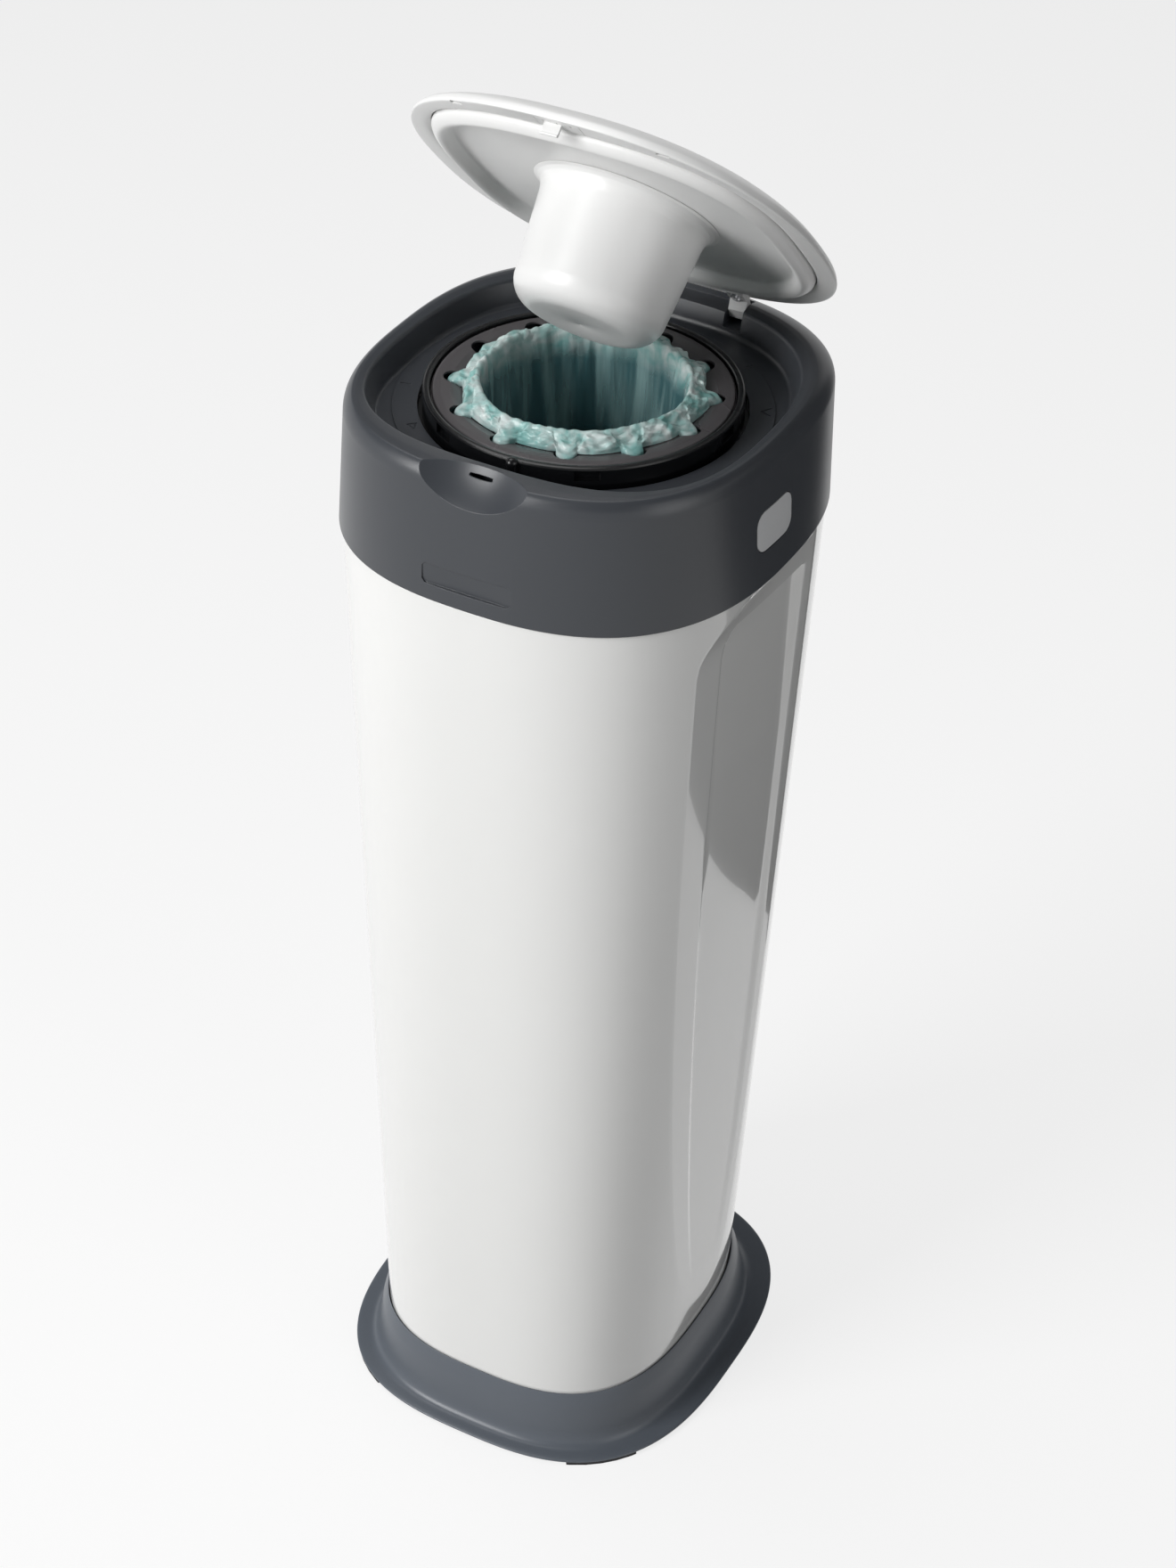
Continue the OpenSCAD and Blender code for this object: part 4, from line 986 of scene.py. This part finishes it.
# %% Film down the throat
line, film_length = curve_through(film_line, FILM_ALONG)
for k, (r, z) in enumerate(line):
    along = k / (FILM_ALONG - 1) * film_length
    down = ramp(along, 1.5, 16)
    folds = 2.7 * long_folds(0.0012 * along) + 1.2 * side_folds(-0.0016 * along)
    folds = folds + 0.6 * fine_folds(0.001 * along)
    edge = 1.6 * (crumple(along * 0.05, 34, 1.0, 21) - 0.5) * (1 - down)
    inward = down * folds * min(1, r / 24) * (1 if z > housing_floor else 0.6) - sway * (1 - down)
    film_rows.append((r - inward, np.full(FILM_AROUND, z) + edge))
first = film_rows[SKIRT_ROWS]
for k in range(SKIRT_ROWS - 5, SKIRT_ROWS):
    t = soft_step((k - (SKIRT_ROWS - 5)) / 5)
    film_rows[k] = (mix(film_rows[k][0], first[0], t), mix(film_rows[k][1], first[1], t))
film_points = [np.column_stack([r * np.cos(theta), r * np.sin(theta), z]) for r, z in film_rows]
film = skin("film", film_points, ends=False, smooth=180)
skirt_pairs = zip(film_rows, film_rows[1:SKIRT_ROWS + 1])
skirt_length = float(np.mean(sum(np.hypot(b[0] - a[0], b[1] - a[1]) for a, b in skirt_pairs)))
film_length += skirt_length

# %% Film material
def film_plastic(name):
    """Thin film: streaked and see-through down the throat, where painted shade darkens its teal; whiter and
    crumpled in its collar.
    """
    material, tree, shader = new_material(name)
    link = tree.links.new
    place = tree.nodes.new("ShaderNodeTexCoord")
    apart = tree.nodes.new("ShaderNodeSeparateXYZ")
    link(place.outputs["Object"], apart.inputs[0])
    up_here = node(tree, "ShaderNodeMapRange", From_Min=0.700, From_Max=0.7155)
    link(apart.outputs["Z"], up_here.inputs["Value"])

    upright = node(tree, "ShaderNodeMapping", Scale=(1, 1, 0.05))
    streaks = node(tree, "ShaderNodeTexNoise", Scale=95.0, Detail=3.0, Roughness=0.55)
    link(place.outputs["Object"], upright.inputs["Vector"])
    link(upright.outputs[0], streaks.inputs["Vector"])
    # Down the throat the film is a darker teal: partly its own colour, partly painted shade of the deep,
    # narrow throat.
    throat_tone_and_shade = node(tree, "ShaderNodeValToRGB")
    throat_tone_and_shade.color_ramp.elements[0].position, throat_tone_and_shade.color_ramp.elements[1].position = 0.44, 0.66
    throat_tone_and_shade.color_ramp.elements[0].color = from_bytes(84, 132, 137)
    throat_tone_and_shade.color_ramp.elements[1].color = from_bytes(166, 206, 206)
    link(streaks.outputs["Fac"], throat_tone_and_shade.inputs["Fac"])

    cloudy = node(tree, "ShaderNodeTexNoise", Scale=95.0, Detail=3.0, Distortion=0.8)
    link(place.outputs["Object"], cloudy.inputs["Vector"])
    kinks = node(tree, "ShaderNodeTexVoronoi", feature="DISTANCE_TO_EDGE", Scale=70.0)
    facets = node(tree, "ShaderNodeMapRange", From_Max=0.35)
    link(place.outputs["Object"], kinks.inputs["Vector"])
    link(kinks.outputs["Distance"], facets.inputs["Value"])
    collar_tone = node(tree, "ShaderNodeValToRGB")
    collar_tone.color_ramp.elements[0].position, collar_tone.color_ramp.elements[1].position = 0.32, 0.7
    collar_tone.color_ramp.elements[0].color = from_bytes(150, 208, 203)
    collar_tone.color_ramp.elements[1].color = from_bytes(238, 249, 247)
    link(cloudy.outputs["Fac"], collar_tone.inputs["Fac"])

    # The height mask blends the throat tone, which carries the painted shade, into the whiter collar tone.
    tint = node(tree, "ShaderNodeMix", data_type="RGBA")
    link(up_here.outputs[0], tint.inputs[0])
    link(throat_tone_and_shade.outputs[0], tint.inputs[6])
    link(collar_tone.outputs[0], tint.inputs[7])
    link(tint.outputs[2], shader.inputs["Base Color"])
    veil = node(tree, "ShaderNodeMapRange", To_Min=0.5, To_Max=0.68)
    link(up_here.outputs[0], veil.inputs["Value"])
    link(veil.outputs[0], shader.inputs["Alpha"])

    rumpled = node(tree, "ShaderNodeMath", operation="MULTIPLY")
    link(facets.outputs[0], rumpled.inputs[0])
    link(up_here.outputs[0], rumpled.inputs[1])
    crossing = node(tree, "ShaderNodeMath", operation="ADD")
    link(rumpled.outputs[0], crossing.inputs[0])
    link(streaks.outputs["Fac"], crossing.inputs[1])
    bump = node(tree, "ShaderNodeBump", Strength=0.5, Distance=0.0014)
    link(crossing.outputs[0], bump.inputs["Height"])
    link(bump.outputs[0], shader.inputs["Normal"])
    shader.inputs["Roughness"].default_value = 0.2
    return material


film_finish = film_plastic("film_finish")
paint(film, film_finish)
paint(nodes["film_pack"], film_finish)
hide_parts("film_sleeve")
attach(film, "spinner")

# %% [markdown]
# The photograph has a plain pale ground, a broad light from the left and a weaker one from the right,
# so the left faces of the bin are bright and its right faces fall to grey. Large soft lamps give the
# long, gentle reflections that show how glossy the tub is.

# %% Ground
def ground_material():
    material = bpy.data.materials.new("pale_ground")
    material.use_nodes = True
    tree = material.node_tree
    tree.nodes.clear()
    link = tree.links.new
    out = tree.nodes.new("ShaderNodeOutputMaterial")
    rays = tree.nodes.new("ShaderNodeLightPath")
    seen = node(tree, "ShaderNodeMath", operation="MAXIMUM")
    share = node(tree, "ShaderNodeMath", operation="MULTIPLY")
    share.inputs[1].default_value = 0.78
    tone = node(tree, "ShaderNodeMapRange", To_Min=0.34, To_Max=0.9)
    through = node(tree, "ShaderNodeMath", operation="MAXIMUM")
    link(through.outputs[0], tone.inputs["Value"])
    matt = tree.nodes.new("ShaderNodeBsdfDiffuse")
    link(tone.outputs[0], matt.inputs["Color"])
    glow = node(tree, "ShaderNodeEmission", Color=(1, 1, 1, 1), Strength=1.0)
    blend = tree.nodes.new("ShaderNodeMixShader")
    link(rays.outputs["Is Camera Ray"], seen.inputs[0])
    link(rays.outputs["Is Glossy Ray"], seen.inputs[1])
    link(seen.outputs[0], through.inputs[0])
    link(rays.outputs["Is Transmission Ray"], through.inputs[1])
    link(through.outputs[0], share.inputs[0])
    link(share.outputs[0], blend.inputs[0])
    link(matt.outputs[0], blend.inputs[1])
    link(glow.outputs[0], blend.inputs[2])
    link(blend.outputs[0], out.inputs["Surface"])
    return material


reach = 9000
corners = [(-reach, -reach, 0), (reach, -reach, 0), (reach, reach, 0), (-reach, reach, 0)]
ground = add_mesh("ground", corners, [(0, 1, 2, 3)])
backdrop = skin("backdrop", [ring(disc(reach), z) for z in (-1, 3500)], ends=False)
for part in (ground, backdrop):
    paint(part, ground_material() if part is ground else ground.data.materials[0])

# %% Dark card that only reflections see
card = add_mesh("card", [(150, 430, 0), (1700, 430, 0), (1700, 430, 900), (150, 430, 900)], [(0, 1, 2, 3)])
paint(card, plastic("card_grey", from_bytes(96, 98, 102), 0.8, 2.0, 0.01, 0.3, 0.05))
for kind in ("visible_camera", "visible_diffuse", "visible_transmission", "visible_shadow"):
    setattr(card, kind, False)

# %% Lamps and world
def lamp(name, place, aim, wide, tall, watts, colour=(1, 1, 1)):
    data = bpy.data.lights.new(name, "AREA")
    data.shape = "RECTANGLE"
    data.size, data.size_y = wide, tall
    data.energy = watts
    data.color = colour
    obj = bpy.data.objects.new(name, data)
    obj.location = place
    obj.rotation_euler = (Vector(aim) - Vector(place)).to_track_quat("-Z", "Y").to_euler()
    bpy.context.scene.collection.objects.link(obj)
    return obj


lamp("key_left", (-1.5, -2.6, 1.9), (0, 0, 0.4), 1.5, 2.2, 104)
lamp("fill_right", (2.2, -0.6, 1.2), (0, 0, 0.4), 1.2, 2.0, 10)
lamp("top", (-0.6, 0.2, 2.6), (0, 0, 0.6), 1.4, 1.4, 16)
world = bpy.data.worlds.new("studio")
world.use_nodes = True
world.node_tree.nodes["Background"].inputs[0].default_value = (0.9, 0.91, 0.92, 1)
world.node_tree.nodes["Background"].inputs[1].default_value = 0.12
bpy.context.scene.world = world
bpy.context.scene.view_settings.view_transform = "Standard"

# %% [markdown]
# The camera was fitted to the outlines of the bin in the photograph: from the front and a little to
# the right, looking down at 37 degrees, with a long lens.

# %% Camera
eye = Vector((0.739702, -1.380190, 1.603441))
right = Vector((0.87633436, 0.48126784, 0.02047812))
up = Vector((-0.30135804, 0.51458216, 0.80273815))
back = Vector((0.37579438, -0.70963827, 0.59597996))
camera_data = bpy.data.cameras.new("camera")
camera_data.lens = 74.68
camera_data.sensor_width = 36
camera = bpy.data.objects.new("camera", camera_data)
camera.matrix_world = Matrix((
    (right.x, up.x, back.x, eye.x),
    (right.y, up.y, back.y, eye.y),
    (right.z, up.z, back.z, eye.z),
    (0, 0, 0, 1),
))
bpy.context.scene.collection.objects.link(camera)
bpy.context.scene.camera = camera
